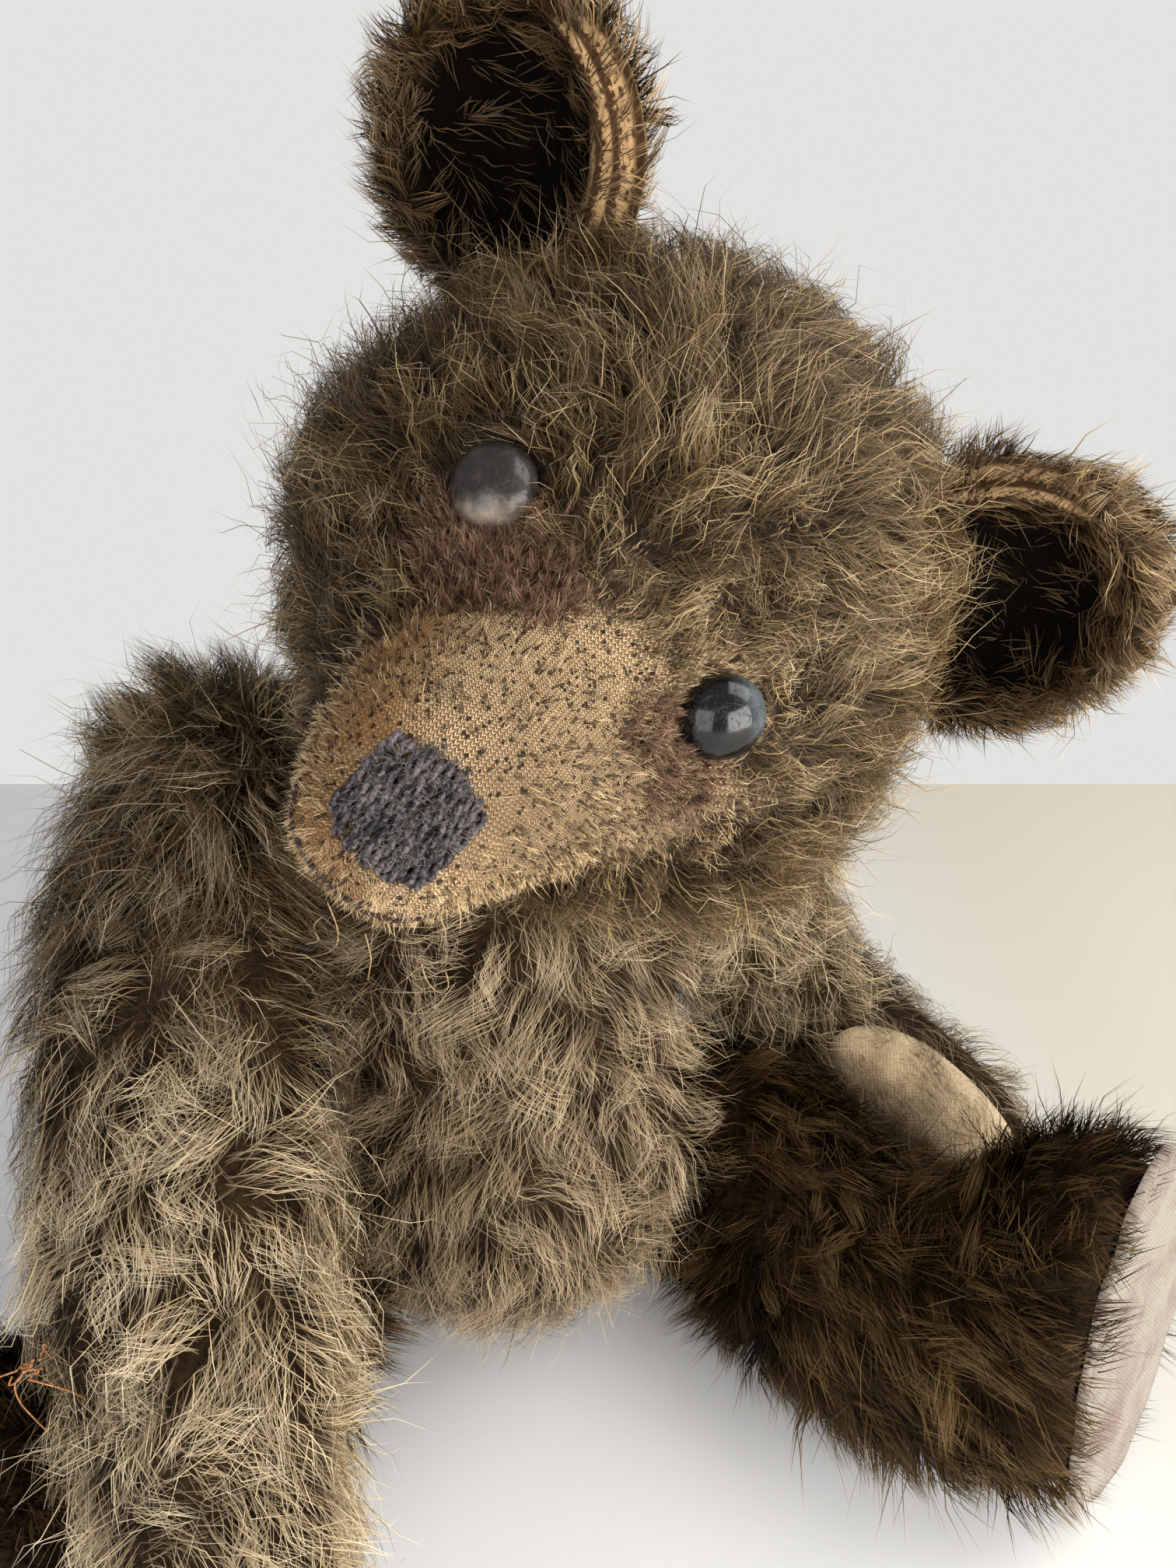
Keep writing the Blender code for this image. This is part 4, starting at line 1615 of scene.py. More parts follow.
    def _grow_crest(self) -> None:
        """Grows thick tufts that stand up round a point over the joint."""
        name, reach = f"{self.node}_crest", self.crest_reach
        top = np.array(self.path[0]) + np.array(self.crest_top)
        tufts = Lay(
            self.crest_strands, length=12.0, vary=0.25, per_lock=30, clump=0.78, lift=84, fall=40, bend=70,
            wave=2.2, width=0.16, levels=3, tone=0.24, spark=0.9, strays=0.02
        )
        Coat(
            name, self.skin, tufts,
            lambda points, normals: np.array([[-0.7, 0.1, 0.7]]) + np.zeros_like(points),
            lambda points, normals: 1 - step(np.linalg.norm(points - top, axis=1), reach * 0.4, reach),
            self.seed + 20
        ).build(Mohair(f"{name}_mohair").make())


@dataclass
class Ear(Plush):
    """An ear's skin and pile."""

    side: Side = Side.RIGHT
    head: HeadFrame = HeadFrame()
    places: Mapping[Side, Colour] = field(
        default_factory=lambda: {Side.RIGHT: (-47.0, 2.0, 27.0), Side.LEFT: (33.0, 2.0, 32.0)}
    )
    radii: tuple[float, float, float] = (18.0, 11.0, 19.0)
    strands: int = 9500

    @property
    def matrix(self) -> Matrix:
        """The ear's frame, with its hollow towards -Y."""
        x, y, z = self.places[self.side]
        lean = Matrix.Rotation(math.atan2(x, z), 4, "Y")
        turn = Matrix.Rotation(self.side.value * math.radians(12), 4, "Z")
        return self.head.matrix @ Matrix.Translation(Vector((x, y, z)) * MM) @ lean @ turn

    def build(self) -> None:
        """Builds the skin."""
        node = f"ear_{self.side.tag}"
        self.skin = Skin(node, "head", [], voxel=1.4, rounds=5, inset=0.3, fill=0.3).build(
            self.nodes[node], f"{node}_cloth"
        )

    def local(self, points: Array) -> Array:
        """Points in millimetres in the ear's frame."""
        return carried(points, self.matrix.inverted())

    def rim(self, near: Array) -> Array:
        """How far points in the ear's frame lie from its middle, with 1 on its rim."""
        return np.hypot(near[:, 0] / self.radii[0], near[:, 2] / self.radii[2])

    def flow(self, points: Array, normals: Array) -> Array:
        """Pile runs up the ear and out over its rim.

        Args:
            points: Points in millimetres.
            normals: The skin's normals there; not used.

        Returns:
            A direction for each point.
        """
        near = self.local(points)
        near[:, 1] = 0
        near[:, 2] += 14
        return unit(near) @ np.array(self.matrix.to_3x3()).T

    def density(self, points: Array, normals: Array) -> Array:
        """Pile density, thin in the hollow and on the rim, which is worn to the seam.

        Args:
            points: Points in millimetres.
            normals: The skin's normals there; not used.

        Returns:
            A density for each point.
        """
        near = self.local(points)
        rim = self.rim(near)
        worn = step(rim, 0.72, 0.86) * step(-self.side.value * near[:, 0], 4.0, 9.0)
        worn = worn * (1 - step(near[:, 2], 5.0, 11.0)) * (near[:, 1] < 5)
        edge = step(rim, 0.7, 0.9)
        return (1 - 0.8 * worn) * (0.6 + edge) * (near[:, 2] > -16) * (1 - 0.88 * self.cup(points))

    def cup(self, points: Array) -> Array:
        """Share that is 1 deep in the hollow."""
        near = self.local(points)
        return (near[:, 1] < 4.5) * (1 - step(self.rim(near), 0.58, 0.8))

    def shade(self, points: Array) -> Array:
        """Painted shade: strands darker inside the hollow."""
        near = self.local(points)
        return -1.3 * (near[:, 1] < 4) * (1 - step(self.rim(near), 0.66, 0.95))

    def dress(self) -> None:
        """Gives the skin its cloth and grows the pile."""
        cloth = EarCloth(f"ear_{self.side.tag}_cloth", self.radii, -self.side.value)
        self.skin.ob.data.materials.append(cloth.make(self.matrix))
        lay = Lay(
            self.strands, length=5.8, per_lock=14, clump=0.7, lift=58, fall=16, bend=25, wave=0.8, swing=40,
            width=0.15, levels=2, tone=0.3, tone_vary=0.24, spark=1.1
        )
        coat = Coat(
            f"ear_{self.side.tag}_pile", self.skin, lay, self.flow, self.density, 51 + self.side.value,
            reach=lambda points: np.where(self.cup(points) > 0.2, 0.7, 1.0), shade=self.shade
        )
        pile = Mohair(
            f"ear_{self.side.tag}_mohair",
            dark=((0.012, 0.006, 0.002), (0.06, 0.032, 0.012), (0.15, 0.086, 0.036)),
            faded=((0.05, 0.028, 0.01), (0.38, 0.235, 0.1), (0.9, 0.7, 0.43))
        )
        coat.build(pile.make())


@dataclass
class Head(Plush):
    """The head's skin, pile, worn muzzle, nose, mouth and eyes."""

    frame: HeadFrame = HeadFrame()
    face_strands: int = 28000
    back_strands: int = 19400
    eye_clear: float = 5.5
    weave_radius: float = 27.0
    button_radius: float = 4.9
    button_depth: float = 3.6
    coat_split: float = -8.0

    def build(self) -> None:
        """Builds the skin."""
        seats = [self.seats["neck_head"]]
        skin = Skin("head", "head", seats, voxel=1.6, rounds=12, inset=0.4)
        self.skin = skin.build(self.nodes["head"], "head_cloth")
        add_map(self.skin.ob.data, WEAVE_MAP, self.weave(self.skin.points))

    def weave(self, points: Array) -> Array:
        """Places along the courses and wales of the knit, in millimetres.

        Args:
            points: Points in millimetres.

        Returns:
            Two lengths for each point.
        """
        near = self.frame.local(points) - np.array([0, -38.0, -12.0])
        span = np.linalg.norm(near, axis=1)
        across = self.weave_radius * np.arcsin(np.clip(near[:, 0] / span, -1, 1))
        up = self.weave_radius * np.arctan2(near[:, 2], -near[:, 1])
        return np.stack([across, up], axis=1)

    def bare(self, points: Array) -> Array:
        """How far points lie inside the bare muzzle, in millimetres.

        Args:
            points: Points in millimetres.

        Returns:
            Distances, which are below 0 outside it.
        """
        frame = self.frame
        near = frame.local(points)
        edge = frame.bare_x * near[:, 0] + frame.bare_z * near[:, 2] - frame.bare_level
        return edge - near[:, 1] + 2.2 * drift(points, 9.0, 5)

    def flow(self, points: Array, normals: Array) -> Array:
        """Pile runs back from the muzzle, and down at the back.

        Args:
            points: Points in millimetres.
            normals: The skin's normals there; not used.

        Returns:
            A direction for each point.
        """
        near = self.frame.local(points)
        way = unit(near - np.array(self.frame.muzzle))
        way[:, 2] -= 0.25 + 0.8 * step(near[:, 1], 5.0, 35.0)
        return self.frame.turned(way)

    def eye_axis(self, side: Side) -> tuple[Array, Array]:
        """An eye's middle and outward axis in the head's frame."""
        mirror = np.array([side.value, 1, 1])
        return mirror * self.frame.eye, unit(mirror * self.frame.eye_axis)

    def around_eyes(self, points: Array) -> Array:
        """Points moved clear of the buttons.

        Args:
            points: Points in millimetres.

        Returns:
            The points, moved where they were too near.
        """
        near = self.frame.local(points)
        for side in Side:
            middle, axis = self.eye_axis(side)
            away = near - middle
            depth = away @ axis
            flat = away - np.outer(depth, axis)
            reach = np.linalg.norm(flat, axis=1)
            short = (reach < self.eye_clear) & (depth > -3) & (depth < 14)
            push = np.where(short, self.eye_clear - reach, 0.0)
            near += unit(flat) * push[:, None]
        return self.frame.world(near)

    def off_eyes(self, near: Array, clear: float) -> Array:
        """Whether points in the head's frame lie outside both buttons' rings, clear millimetres wide."""
        gaps = [np.linalg.norm(near - self.eye_axis(side)[0], axis=1) for side in Side]
        return np.minimum(*gaps) > clear

    def off_nose(self, near: Array) -> Array:
        """Whether points in the head's frame lie outside the nose's stitches."""
        return (np.hypot(near[:, 0] / 6.6, (near[:, 2] + 6.5) / 5.2) > 1) | (near[:, 1] > -52)

    def base_density(self, points: Array) -> Array:
        """Pile density before the coat is split in two."""
        kept = 1 - step(self.bare(points), -2.5, 1.5)
        return self.bare_seats(kept * self.off_eyes(self.frame.local(points), self.eye_clear), points)

    def face_density(self, points: Array, normals: Array) -> Array:
        """Density of the coat on the face and crown."""
        return self.base_density(points) * (self.frame.local(points)[:, 1] < self.coat_split)

    def back_density(self, points: Array, normals: Array) -> Array:
        """Density of the coat on the sides, crown and back."""
        return self.base_density(points) * (self.frame.local(points)[:, 1] >= self.coat_split)

    def rubbed(self, points: Array) -> Array:
        """Share that is 1 where the pile before the eyes is rubbed short and stained.

        Args:
            points: Points in millimetres.

        Returns:
            A share for each point.
        """
        near = self.frame.local(points)
        share = np.zeros(len(points))
        for place, reach, depth in self.frame.stains:
            gap = np.linalg.norm(near - np.array(place), axis=1)
            stained = min(1.0, 1.3 * depth) * (1 - step(gap, 0.55 * reach, 1.15 * reach))
            share = np.maximum(share, stained)
        return share

    def reach(self, points: Array) -> Array:
        """Share of full length: short at the edge of the muzzle and before the eyes.

        Args:
            points: Points in millimetres.

        Returns:
            A share for each point.
        """
        size = 0.3 + 0.7 * step(-self.bare(points), -1.0, 9.0)
        size *= 1 - 0.72 * self.rubbed(points)
        near = self.frame.local(points)
        for side in Side:
            middle, _ = self.eye_axis(side)
            gap = np.linalg.norm(near - middle, axis=1)
            ahead = step(middle[1] - near[:, 1] + 6, 0.0, 8.0)
            size *= 1 - ahead * 0.55 * (1 - step(gap, 6.0, 13.0))
        return size

    def dress(self) -> None:
        """Gives the skin its cloth and grows the pile and the stubs."""
        self.skin.ob.data.materials.append(HeadCloth("head_cloth").make(self.frame))
        pile = Mohair("head_mohair").make()
        lay = Lay(self.back_strands, length=9.5, levels=3, tone=0.13, tone_vary=0.22, spark=1.2, width=0.13)
        face_lay = replace(lay, strands=self.face_strands, levels=4, clump=0.72, wave=1.6, width=0.12)
        Coat(
            "head_pile_face", self.skin, face_lay, self.flow, self.face_density, 21, reach=self.reach,
            # Painted shade: the face's pile is darker on the head's right, away from the key lamp.
            shade=lambda points: -0.16 * (1 - step(self.frame.local(points)[:, 0], -34.0, -10.0)),
            keep_clear=self.around_eyes
        ).build(pile)
        Coat("head_pile_back", self.skin, lay, self.flow, self.back_density, 22).build(pile)
        self._stubs()
        self._eyes()
        self._nose()
        self._mouth()

    def _muzzle_density(self, points: Array, normals: Array) -> Array:
        """Density of what is left of the pile on the bare muzzle.

        Args:
            points: Points in millimetres.
            normals: The skin's normals there; not used.

        Returns:
            A density for each point.
        """
        near = self.frame.local(points)
        high = 0.08 + 0.92 * step(near[:, 2] - 0.4 * near[:, 0], -9.0, 5.0)
        return step(self.bare(points), -4.0, -1.0) * high * (near[:, 1] < -20) * self.off_nose(near)

    def _fuzz_density(self, points: Array, normals: Array) -> Array:
        """Density of the pale fuzz, most along the lower edge of the bare muzzle.

        Args:
            points: Points in millimetres.
            normals: The skin's normals there; not used.

        Returns:
            A density for each point.
        """
        near = self.frame.local(points)
        bare = self.bare(points)
        low = 1 - step(near[:, 2], -18.0, -4.0)
        edge = 1 - step(bare, 3.0, 12.0)
        return step(bare, -5.0, -1.0) * (0.1 + edge * 0.35 + low) * self.off_nose(near)

    def _rubbed_density(self, points: Array, normals: Array) -> Array:
        """Density of the short stained pile before the eyes."""
        near = self.frame.local(points)
        return self.rubbed(points) * (near[:, 1] < -20) * self.off_eyes(near, self.eye_clear - 0.5)

    def _nose_density(self, points: Array, normals: Array) -> Array:
        """Density of the fibres that stand out of the nose."""
        near = self.frame.local(points)
        return (np.hypot(near[:, 0] / 4.6, (near[:, 2] + 7.0) / 4.0) < 1) & (near[:, 1] < -50)

    def _stubs(self) -> None:
        """Short worn pile left in rows on the bare muzzle, and its finest fuzz."""
        stubs = Lay(
            4200, length=1.3, vary=0.55, clump=0.5, lift=72, fall=38, wave=0.08, swing=28, width=0.13,
            levels=2, tone=0.16, tone_vary=0.2, spark=0.4, strays=0.03
        )
        Tufts("muzzle_stubs", self.skin, stubs, self.flow, self._muzzle_density, 31, grid=self.weave).build(
            Mohair(
                "stub_mohair", dark=((0.02, 0.01, 0.005), (0.035, 0.019, 0.009), (0.06, 0.035, 0.016)),
                faded=((0.06, 0.034, 0.016), (0.16, 0.1, 0.05), (0.33, 0.23, 0.12))
            ).make()
        )
        fuzz = Lay(
            9000, length=1.15, vary=0.6, per_lock=4, clump=0.3, lift=55, fall=30, wave=0.35, swing=60,
            width=0.07, levels=2, tone=0.6, tone_vary=0.3, strays=0.05, stray_length=2.2
        )
        rust = Lay(
            8000, length=2.1, vary=0.6, per_lock=5, clump=0.4, lift=66, fall=44, wave=0.3, swing=70,
            width=0.09, levels=2, tone=0.3, tone_vary=0.2, strays=0.02
        )
        Coat("rubbed_pile", self.skin, rust, self.flow, self._rubbed_density, 33).build(
            Mohair(
                "rubbed_mohair", dark=((0.021, 0.007, 0.003), (0.05, 0.02, 0.01), (0.092, 0.042, 0.022)),
                faded=((0.07, 0.029, 0.015), (0.185, 0.09, 0.052), (0.56, 0.38, 0.25))
            ).make()
        )
        Coat("muzzle_fuzz", self.skin, fuzz, self.flow, self._fuzz_density, 32).build(
            Mohair(
                "fuzz_mohair", dark=((0.2, 0.115, 0.045), (0.32, 0.195, 0.09), (0.45, 0.3, 0.15)),
                faded=((0.42, 0.27, 0.12), (0.68, 0.48, 0.25), (0.98, 0.82, 0.56))
            ).make()
        )

    def _eyes(self) -> None:
        """Two domed buttons, one dull and one still glossy."""
        # The pale side is a painted bluish highlight on the left button and a painted tan reflection on the
        # right one, each partly wear.
        finishes = {
            Side.RIGHT: Button(
                "button_dull", body=(0.016, 0.013, 0.011), scuff=(0.1, 0.08, 0.066), gloss=0.3,
                wear=0.5, rubbed=(0.62, 0.48, 0.36), towards=(0.75, -0.65, 0.0)
            ),
            Side.LEFT: Button(
                "button_black", body=(0.002, 0.002, 0.002), scuff=(0.03, 0.031, 0.031), gloss=0.14,
                wear=0.2, rubbed=(0.21, 0.25, 0.275), towards=(0.55, 0.8, 0.0)
            ),
        }
        around, rings = 56, 20
        for side in Side:
            middle, axis = self.eye_axis(side)
            z = Vector(axis)
            x = Vector((0, 0, 1)).cross(z).normalized()
            turn = Matrix((x, z.cross(x), z)).transposed().to_4x4()
            place = self.frame.matrix @ Matrix.Translation(Vector(middle) * MM) @ turn
            profile = [
                (self.button_radius * math.sin(a), self.button_depth * math.cos(a))
                for a in (math.pi / 2 * (i + 1) / rings for i in range(rings))
            ]
            profile += [(self.button_radius - 0.15, -0.35), (self.button_radius - 0.7, -0.6)]
            points = [(0, 0, self.button_depth)]
            for r, h in profile:
                for j in range(around):
                    t = 2 * math.pi * j / around
                    points.append((r * math.cos(t), r * math.sin(t), h))
            points.append((0, 0, -0.7))
            faces = [(0, 1 + j, 1 + (j + 1) % around) for j in range(around)]
            for i in range(len(profile) - 1):
                for j in range(around):
                    a, b = 1 + i * around + j, 1 + i * around + (j + 1) % around
                    faces += [(a, a + around, b + around), (a, b + around, b)]
            last = len(points) - 1
            start = 1 + (len(profile) - 1) * around
            faces += [(last, start + (j + 1) % around, start + j) for j in range(around)]
            name = f"eye_{side.tag}_button"
            mesh = bpy.data.meshes.new(name)
            mesh.from_pydata((carried(np.array(points), place) * MM).tolist(), [], faces)
            mesh.shade_smooth()
            ob = new_object(name, mesh, finishes[side].make(place))
            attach(ob, "head")
            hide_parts(f"eye_{side.tag}")
            LOG.info("%s: %d faces", name, len(faces))

    def _on_skin(self, origins: Array, way: Array) -> tuple[Array, Array]:
        """Where lines meet the skin.

        Args:
            origins: Their starts in the head's frame.
            way: Their direction in that frame.

        Returns:
            Places and normals in the head's frame; a line that misses keeps its start.
        """
        starts = self.frame.world(origins)
        heading = Vector(self.frame.turned(np.array([way]))[0])
        back = np.array(self.frame.matrix.inverted().to_3x3())
        places, normals = [], []
        for start, origin in zip(starts, origins):
            hit, normal, _, _ = self.skin.tree.ray_cast(Vector(start), heading)
            if hit is None:
                places.append(origin)
                normals.append(-np.array(way))
            else:
                places.append(self.frame.local(np.array([hit]))[0])
                normals.append(back @ np.array(normal))
        return np.array(places), np.array(normals)

    def _two_ply(self, path: Array, radius: float, twist: float, phase: float) -> list[tuple[Array, Array]]:
        """Two plies wound round each other.

        Args:
            path: The yarn's middle line in the shared frame, in millimetres.
            radius: The yarn's radius.
            twist: Length of one turn.
            phase: Where the turn starts, in radians.

        Returns:
            The plies as points and faces.
        """
        heading = unit(np.gradient(path, axis=0))
        side = unit(np.cross(heading, ASKEW))
        other = np.cross(heading, side)
        run = np.concatenate([[0], np.cumsum(np.linalg.norm(np.diff(path, axis=0), axis=1))])
        turn = phase - run / twist * 2 * math.pi
        offset = (side * np.cos(turn)[:, None] + other * np.sin(turn)[:, None]) * radius * 0.46
        return [tube(path + offset, radius * 0.6, 6), tube(path - offset, radius * 0.6, 6)]

    def _nose(self) -> None:
        """Satin stitches of two-ply wool side by side over the end of the muzzle."""
        rng = np.random.default_rng(41)
        out, up, across = np.array([0, -0.8, 0.6]), np.array([0, 0.6, 0.8]), np.array([1.0, 0, 0])
        origin = np.array([0.2, -75, 1.3])
        parts = []
        stitches, half_width, half_height, count = 11, 5.8, 6.2, 42
        for i in range(stitches):
            t = 2 * (i + 0.5) / stitches - 1
            top = half_height * (1 - 0.3 * t * t) + rng.uniform(-0.5, 0.3)
            low = -half_height * (1 - 0.36 * t * t) - rng.uniform(-0.3, 0.4)
            steps = np.linspace(0, 1, count)
            height = low + (top - low) * steps
            lean = rng.uniform(-0.5, 0.5)
            bow = 1 - 0.1 * (height / half_height) ** 2
            wander = 0.12 * np.sin(steps * rng.uniform(3, 7) + rng.uniform(0, 6))
            sideways = half_width * t * bow + lean * (steps - 0.5) + wander
            starts = origin + np.outer(sideways, across) + np.outer(height, up)
            places, normals = self._on_skin(starts, -out)
            ends = np.minimum(steps, 1 - steps)
            rise = 0.62 * step(ends, 0.0, 0.1) - 0.3 * (1 - step(ends, 0.0, 0.08))
            rise = rise + rng.uniform(-0.05, 0.22)
            places = places + unit(normals) * rise[:, None]
            parts += self._two_ply(self.frame.world(places), 0.6, 3.8, rng.uniform(0, 6))
        points, faces = joined(parts)
        wool = Wool("nose_wool", (0.19, 0.155, 0.155), (0.002, 0.001, 0.002))
        self._yarn_piece("nose_yarn", points, faces, "nose_stitching", wool)
        felt = Lay(
            900, length=2.6, vary=0.3, per_lock=3, clump=0.2, lift=72, fall=5, wave=0.7, swing=90,
            width=0.06, levels=3, tone=0.4, tone_vary=0.3, strays=0.05
        )
        Coat("nose_fuzz", self.skin, felt, self.flow, self._nose_density, 34).build(
            Mohair(
                "nose_fuzz_wool",
                dark=((0.012, 0.01, 0.01), (0.03, 0.025, 0.025), (0.06, 0.05, 0.05)),
                faded=((0.03, 0.025, 0.025), (0.14, 0.12, 0.115), (0.4, 0.35, 0.33))
            ).make()
        )

    def _yarn_piece(self, name: str, points: Array, faces: Array, node: str, wool: Wool) -> None:
        """Adds a piece of sewn yarn that stands for a node.

        Args:
            name: Its name.
            points: Its points in millimetres.
            faces: Its faces.
            node: The node it stands for.
            wool: Its finish.
        """
        mesh = bpy.data.meshes.new(name)
        mesh.from_pydata((points * MM).tolist(), [], faces.tolist())
        mesh.shade_smooth()
        ob = new_object(name, mesh, wool.make())
        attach(ob, "head")
        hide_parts(node)
        LOG.info("%s: %d faces", name, len(faces))

    def _mouth(self) -> None:
        """One line of yarn round the lower front of the muzzle."""
        centre, radius, steps, line = np.array([0, -55.5, -13.5]), 13.2, 65, []
        for i in range(steps):
            t = 2 * i / (steps - 1) - 1
            turn, dip = math.radians(66) * t, math.radians(-34 + 20 * t * t)
            out = np.array([math.sin(turn) * math.cos(dip), -math.cos(turn) * math.cos(dip), math.sin(dip)])
            start = centre + out * (radius + 12)
            place, _ = self._on_skin(start[None], -out)
            line.append(place[0] - out * 0.05)
        points, faces = joined(self._two_ply(self.frame.world(np.array(line)), 0.48, 1.5, 0.0))
        wool = Wool("mouth_wool", (0.1, 0.045, 0.042), (0.014, 0.006, 0.007))
        self._yarn_piece("mouth_yarn", points, faces, "mouth_stitching", wool)


# Stage


@dataclass(frozen=True)
class Stage:
    """Table, backdrop, lights and camera."""

    camera: Colour = (-14.1, -149.4, 220.8)
    forward: Colour = (0.166, 0.781, -0.602)
    right: Colour = (0.978, -0.208, 0.0)
    long_side: float = 2016.0
    focal: float = 1500.0
    sensor: float = 36.0
    table: Colour = (0.82, 0.815, 0.81)
    cream: Colour = (0.66, 0.62, 0.52)
    wall: Colour = (0.765, 0.77, 0.755)
    far_edge: Colour = (46.8, 137.0, 0.0)
    ambient: Colour = (0.38, 0.39, 0.41)
    key_power: float = 4.5

    def build(self) -> None:
        """Builds everything that isn't the bear."""
        bpy.context.scene.view_settings.view_transform = "Standard"
        self._camera()
        self._table()
        self._world()
        self._lamp("key", (290, -430, 105), 0.42, self.key_power, (1.0, 0.98, 0.95))
        self._lamp("top", (300, -60, 440), 0.34, self.key_power * 0.32, (1.0, 0.97, 0.92))
        self._lamp("fill", (-330, -430, 180), 0.45, self.key_power * 0.44, (0.97, 0.98, 1.0))

    def _camera(self) -> None:
        """Adds the camera."""
        data = bpy.data.cameras.new("camera")
        data.sensor_fit = "AUTO"
        data.sensor_width = self.sensor
        data.lens = self.sensor * self.focal / self.long_side
        data.clip_start = 0.001
        data.clip_end = 20.0
        camera = bpy.data.objects.new("camera", data)
        bpy.context.scene.collection.objects.link(camera)
        back = -Vector(self.forward).normalized()
        side = Vector(self.right).normalized()
        turn = Matrix((side, back.cross(side).normalized(), back)).transposed().to_4x4()
        camera.matrix_world = Matrix.Translation(Vector(self.camera) * MM) @ turn
        bpy.context.scene.camera = camera

    def _table(self) -> None:
        """Adds the table top, with its straight far edge and a painted pool of warm light on its right."""
        side = Vector(self.right).normalized()
        away = Vector((0, 0, 1)).cross(side)
        edge = Vector(self.far_edge)
        near, width = 1500, 1600
        corners = [edge - side * width - away * near, edge + side * width - away * near]
        corners += [edge + side * width, edge - side * width]
        mesh = bpy.data.meshes.new("table_top")
        mesh.from_pydata([c * MM for c in corners], [], [(0, 1, 2, 3)])
        material, bench = new_finish("table_paint")
        where = bench.place()
        fleck = bench.noise(where, 700.0, 3.0)
        # Painted light: the table turns cream to the right.
        lit_share = where.part("X").sharpened(0.04, 0.16)
        paint = bench.mix(lit_share, self.table, self.cream)
        shade = bench.mix(fleck * 0.06, paint, (0.5, 0.5, 0.5))
        bench.surface(Base_Color=shade, Roughness=0.55, Specular_IOR_Level=0.25)
        new_object("table_top", mesh, material)

    def _world(self) -> None:
        """Adds soft light all round, and a pale wall where the camera looks past the table."""
        world = bpy.data.worlds.new("room")
        bpy.context.scene.world = world
        bench = Bench(world)
        seen = bench.add("ShaderNodeLightPath", out="Is Camera Ray")
        room = bench.add("ShaderNodeBackground", {}, {"Color": self.ambient, "Strength": 1.0})
        wall = bench.add("ShaderNodeBackground", {}, {"Color": self.wall, "Strength": 1.0})
        both = bench.add("ShaderNodeMixShader", {}, {0: seen, 1: room, 2: wall})
        bench.add("ShaderNodeOutputWorld", {}, {0: both})

    def _lamp(self, name: str, place: Colour, size: float, power: float, colour: Colour) -> None:
        """Adds a soft lamp that faces the bear.

        Args:
            name: Its name.
            place: Its place in millimetres.
            size: Its side in metres.
            power: Its power.
            colour: Its colour.
        """
        data = bpy.data.lights.new(name, "AREA")
        data.size = size
        data.energy = power
        data.color = colour
        lamp = bpy.data.objects.new(name, data)
        bpy.context.scene.collection.objects.link(lamp)
        spot = Vector(place) * MM
        aim = Vector((0, -0.02, 0.1))
        lamp.location = spot
        lamp.rotation_euler = (aim - spot).to_track_quat("-Z", "Y").to_euler()


def joint_seats(joints: Sequence[Mapping[str, Any]], head: HeadFrame) -> dict[str, Seat]:
    """Where the stuffed pieces meet.

    Args:
        joints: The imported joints.
        head: The head's frame.

    Returns:
        Seats by joint name, with the neck's two as neck_body and neck_head.
    """
    discs = {"shoulder": 10.0, "hip": 12.0}
    seats = {}
    for joint in joints:
        kind = joint["name"].split("_")[0]
        if kind in discs:
            place = tuple(x / MM for x in joint["pos_m"])
            seats[joint["name"]] = Seat(place, tuple(joint["axis"]), discs[kind])
    disc, bare = 12.0, 14.0
    seats["neck_body"] = Seat((0.0, -6.0, 110.5), (0.0, 0.0, 1.0), disc, bare)
    base = head.turn @ Vector((0, 0, head.level * MM))
    up = head.turn.to_3x3() @ Vector((0, 0, 1))
    seats["neck_head"] = Seat(tuple(base / MM), tuple(up), disc, bare)
    return seats


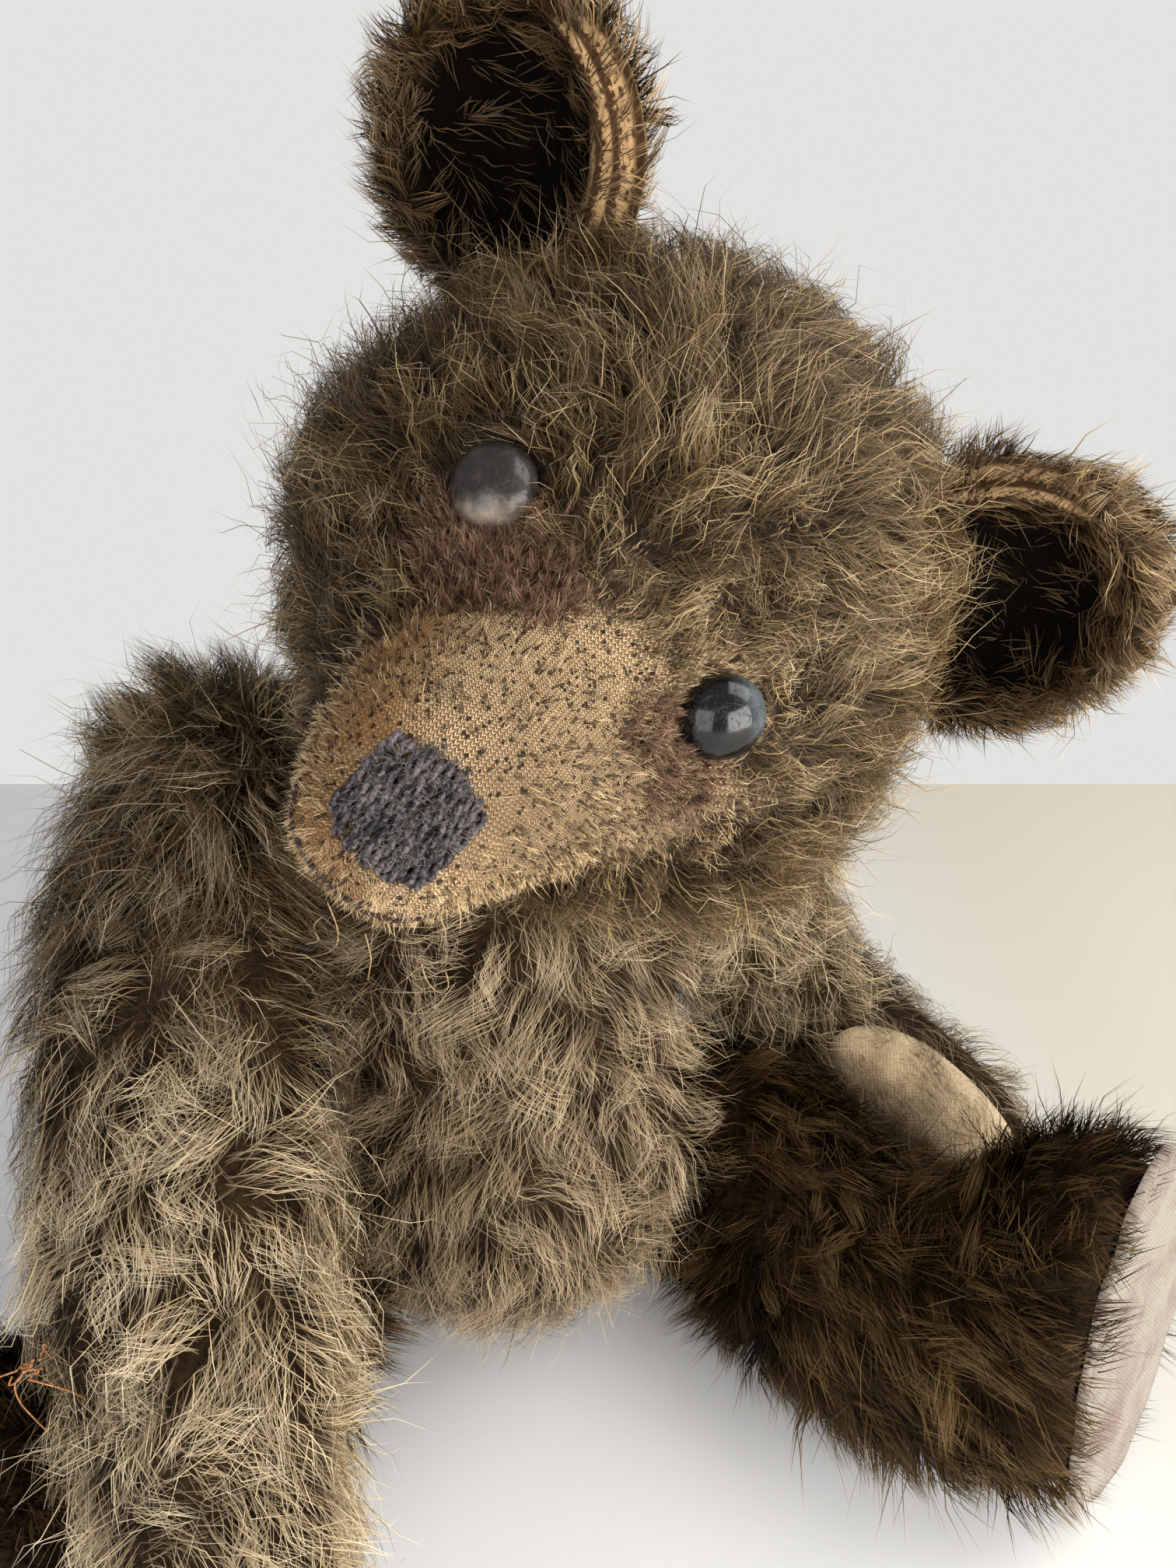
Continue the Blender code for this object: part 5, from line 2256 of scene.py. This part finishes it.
def limbs(nodes: Mapping[str, bpy.types.Object], seats: Mapping[str, Seat]) -> list[Limb]:
    """The four limbs with their sizes and finishes.

    Args:
        nodes: The frame's nodes.
        seats: Where the pieces meet.

    Returns:
        The limbs.
    """
    felt = PadCloth("paw_felt", (1.0, 0.77, 0.46), (0.42, 0.24, 0.1), 0.9, 0.2)
    sole = PadCloth("sole_cloth", (0.62, 0.54, 0.42), (0.3, 0.17, 0.12), 0.9, 1.0)
    arm_pile = Mohair(
        "arm_mohair", dark=((0.014, 0.007, 0.002), (0.06, 0.034, 0.012), (0.13, 0.078, 0.032)),
        faded=((0.13, 0.092, 0.046), (0.62, 0.47, 0.275), (0.96, 0.82, 0.58))
    )
    leg_pile = Mohair(
        "leg_mohair", dark=((0.004, 0.002, 0.001), (0.014, 0.007, 0.002), (0.034, 0.018, 0.006)),
        faded=((0.012, 0.006, 0.002), (0.11, 0.062, 0.02), (0.33, 0.21, 0.095)), gloss=0.06
    )
    leg = [(38, -12, 23), (47, -31, 22), (56, -46, 22), (68, -57, 23), (83.5, -66.5, 25), (86.5, -65, 49)]
    right_leg = [(-x, y, z) for x, y, z in leg]
    right_arm = [(-39, 10, 110), (-42.5, 3, 98), (-47.5, -26, 92)]
    right_arm += [(-48.5, -52, 77), (-43.5, -78, 60), (-38, -88, 50)]
    left_arm = [(42.5, 3, 92.5), (46.5, 4, 72), (55.5, 7, 50), (73, 6, 29), (92.5, -19, 17.5)]
    arm_lay = Lay(
        28000, length=11.0, clump=0.72, lift=54, fall=6, wave=1.9, swing=26, levels=3, tone=0.6, spark=0.9,
        bend=30, width=0.135
    )
    left_arm_lay = replace(arm_lay, strands=15000, length=9.5, tone=0.44)
    leg_lay = Lay(
        18000, length=11.5, clump=0.7, levels=2, lift=56, fall=22, tone=0.28, tone_vary=0.26, bend=30,
        spark=0.6, width=0.22
    )
    left_leg_lay = replace(leg_lay, strands=26500)
    made = []
    for name, pad, joint, path, lay, pile, cloth, seed, mane in (
        ("arm_right", "paw_pad_right", "shoulder_right", right_arm, arm_lay, arm_pile, felt, 61, 0.5),
        ("arm_left", "paw_pad_left", "shoulder_left", left_arm, left_arm_lay, arm_pile, felt, 62, 0.1),
        ("leg_right", "foot_pad_right", "hip_right", right_leg, leg_lay, leg_pile, sole, 63, 0.0),
        ("leg_left", "foot_pad_left", "hip_left", leg, left_leg_lay, leg_pile, sole, 64, 0.0),
    ):
        made.append(
            Limb(
                nodes, seats, node=name, pad=pad, joint=joint, path=path, lay=lay,
                pile=replace(pile, name=f"{name}_mohair"), cloth=replace(cloth, name=f"{pad}_cloth"),
                flat_pad=pad.startswith("foot"), pad_edge=0.6, pad_shift=6.0 if name == "arm_left" else 0.0,
                pad_scale=1.2 if name == "arm_left" else 1.0, pad_way=(0.6, -0.72, -0.35),
                pad_rise=0.4 if pad.startswith("foot") else 1.6, crest=name == "arm_right", mane=mane,
                seed=seed
            )
        )
    return made


def loose_threads() -> None:
    """Threads that hang from the chin, and a tangle of orange thread on the right arm."""
    rng = np.random.default_rng(71)
    chin = [
        [(-24.5, -27, 112), (-23.4, -29, 108.5), (-24, -29, 105), (-27, -27, 102), (-30.5, -25, 100.5)],
        [(-25.5, -27, 109.5), (-27.2, -27, 108.0), (-26.2, -28, 105.8), (-28.4, -27, 104.8)],
        [(-13, -33, 104), (-12.6, -34, 100.5), (-10.8, -35, 98.8), (-9.4, -35, 100.2), (-9.8, -34, 102.4)],
        [(-20.0, -30, 108.0), (-19.6, -31, 104.0), (-20.6, -31, 100.0)],
    ]
    knot, loops, bends = np.array([-64.5, -68, 82]), 7, 9
    tangle = [
        knot + np.cumsum(rng.normal(0, 1.3, (bends, 3)) * (1, 0.5, 1), 0) * 0.7 for _ in range(loops)
    ]
    tangle.append([(-64, -68.5, 83), (-67.5, -68, 79), (-68, -68, 74), (-65.5, -70, 70)])
    tangle.append([(-65, -69, 81), (-60, -71, 80), (-57, -72, 76)])
    pale = Wool("loose_thread", (0.7, 0.5, 0.28), (0.33, 0.21, 0.11))
    orange = Wool("tangle_thread", (0.86, 0.43, 0.18), (0.42, 0.16, 0.05))
    radius, sides, steps = 0.11, 5, 26
    for name, body, wool, runs in (
        ("chin_threads", "head", pale, chin),
        ("arm_tangle", "arm_right", orange, tangle),
    ):
        points, faces = joined([tube(rounded(np.array(run, float), steps), radius, sides) for run in runs])
        mesh = triangles_mesh(name, points, faces, np.zeros((len(points), 2)), None)
        ob = new_object(name, mesh, wool.make())
        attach(ob, body)


def finish_hardware(nodes: Mapping[str, bpy.types.Object]) -> None:
    """Gives the discs, washers and pins inside their finishes.

    Args:
        nodes: The frame's nodes.
    """
    steel = Hardware("joint_steel", (0.42, 0.41, 0.4), (0.16, 0.1, 0.06), 1.0, 0.38).make()
    board = Hardware("joint_board", (0.24, 0.15, 0.08), (0.14, 0.085, 0.045), 0.0, 0.75).make()
    for name, node in nodes.items():
        for starts, finish in ((("washer_", "pin_", "eye_shank"), steel), (("disc_",), board)):
            if name.startswith(starts):
                node.data.materials.clear()
                node.data.materials.append(finish)


def main() -> None:
    """Builds and dresses the bear in order, and sets the stage."""
    logging.basicConfig(level=logging.INFO, format="%(message)s", stream=sys.stdout)
    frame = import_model()
    nodes = frame["nodes"]
    head_frame = HeadFrame()
    seats = joint_seats(frame["joints"], head_frame)
    Stage().build()
    pieces = [Body(nodes, seats), *limbs(nodes, seats)]
    pieces += [Ear(nodes, seats, side=side, head=head_frame) for side in Side]
    pieces.append(Head(nodes, seats, frame=head_frame))
    for piece in pieces:
        piece.build()
    for piece in pieces:
        piece.dress()
    loose_threads()
    finish_hardware(nodes)


if __name__ == "__main__":
    main()
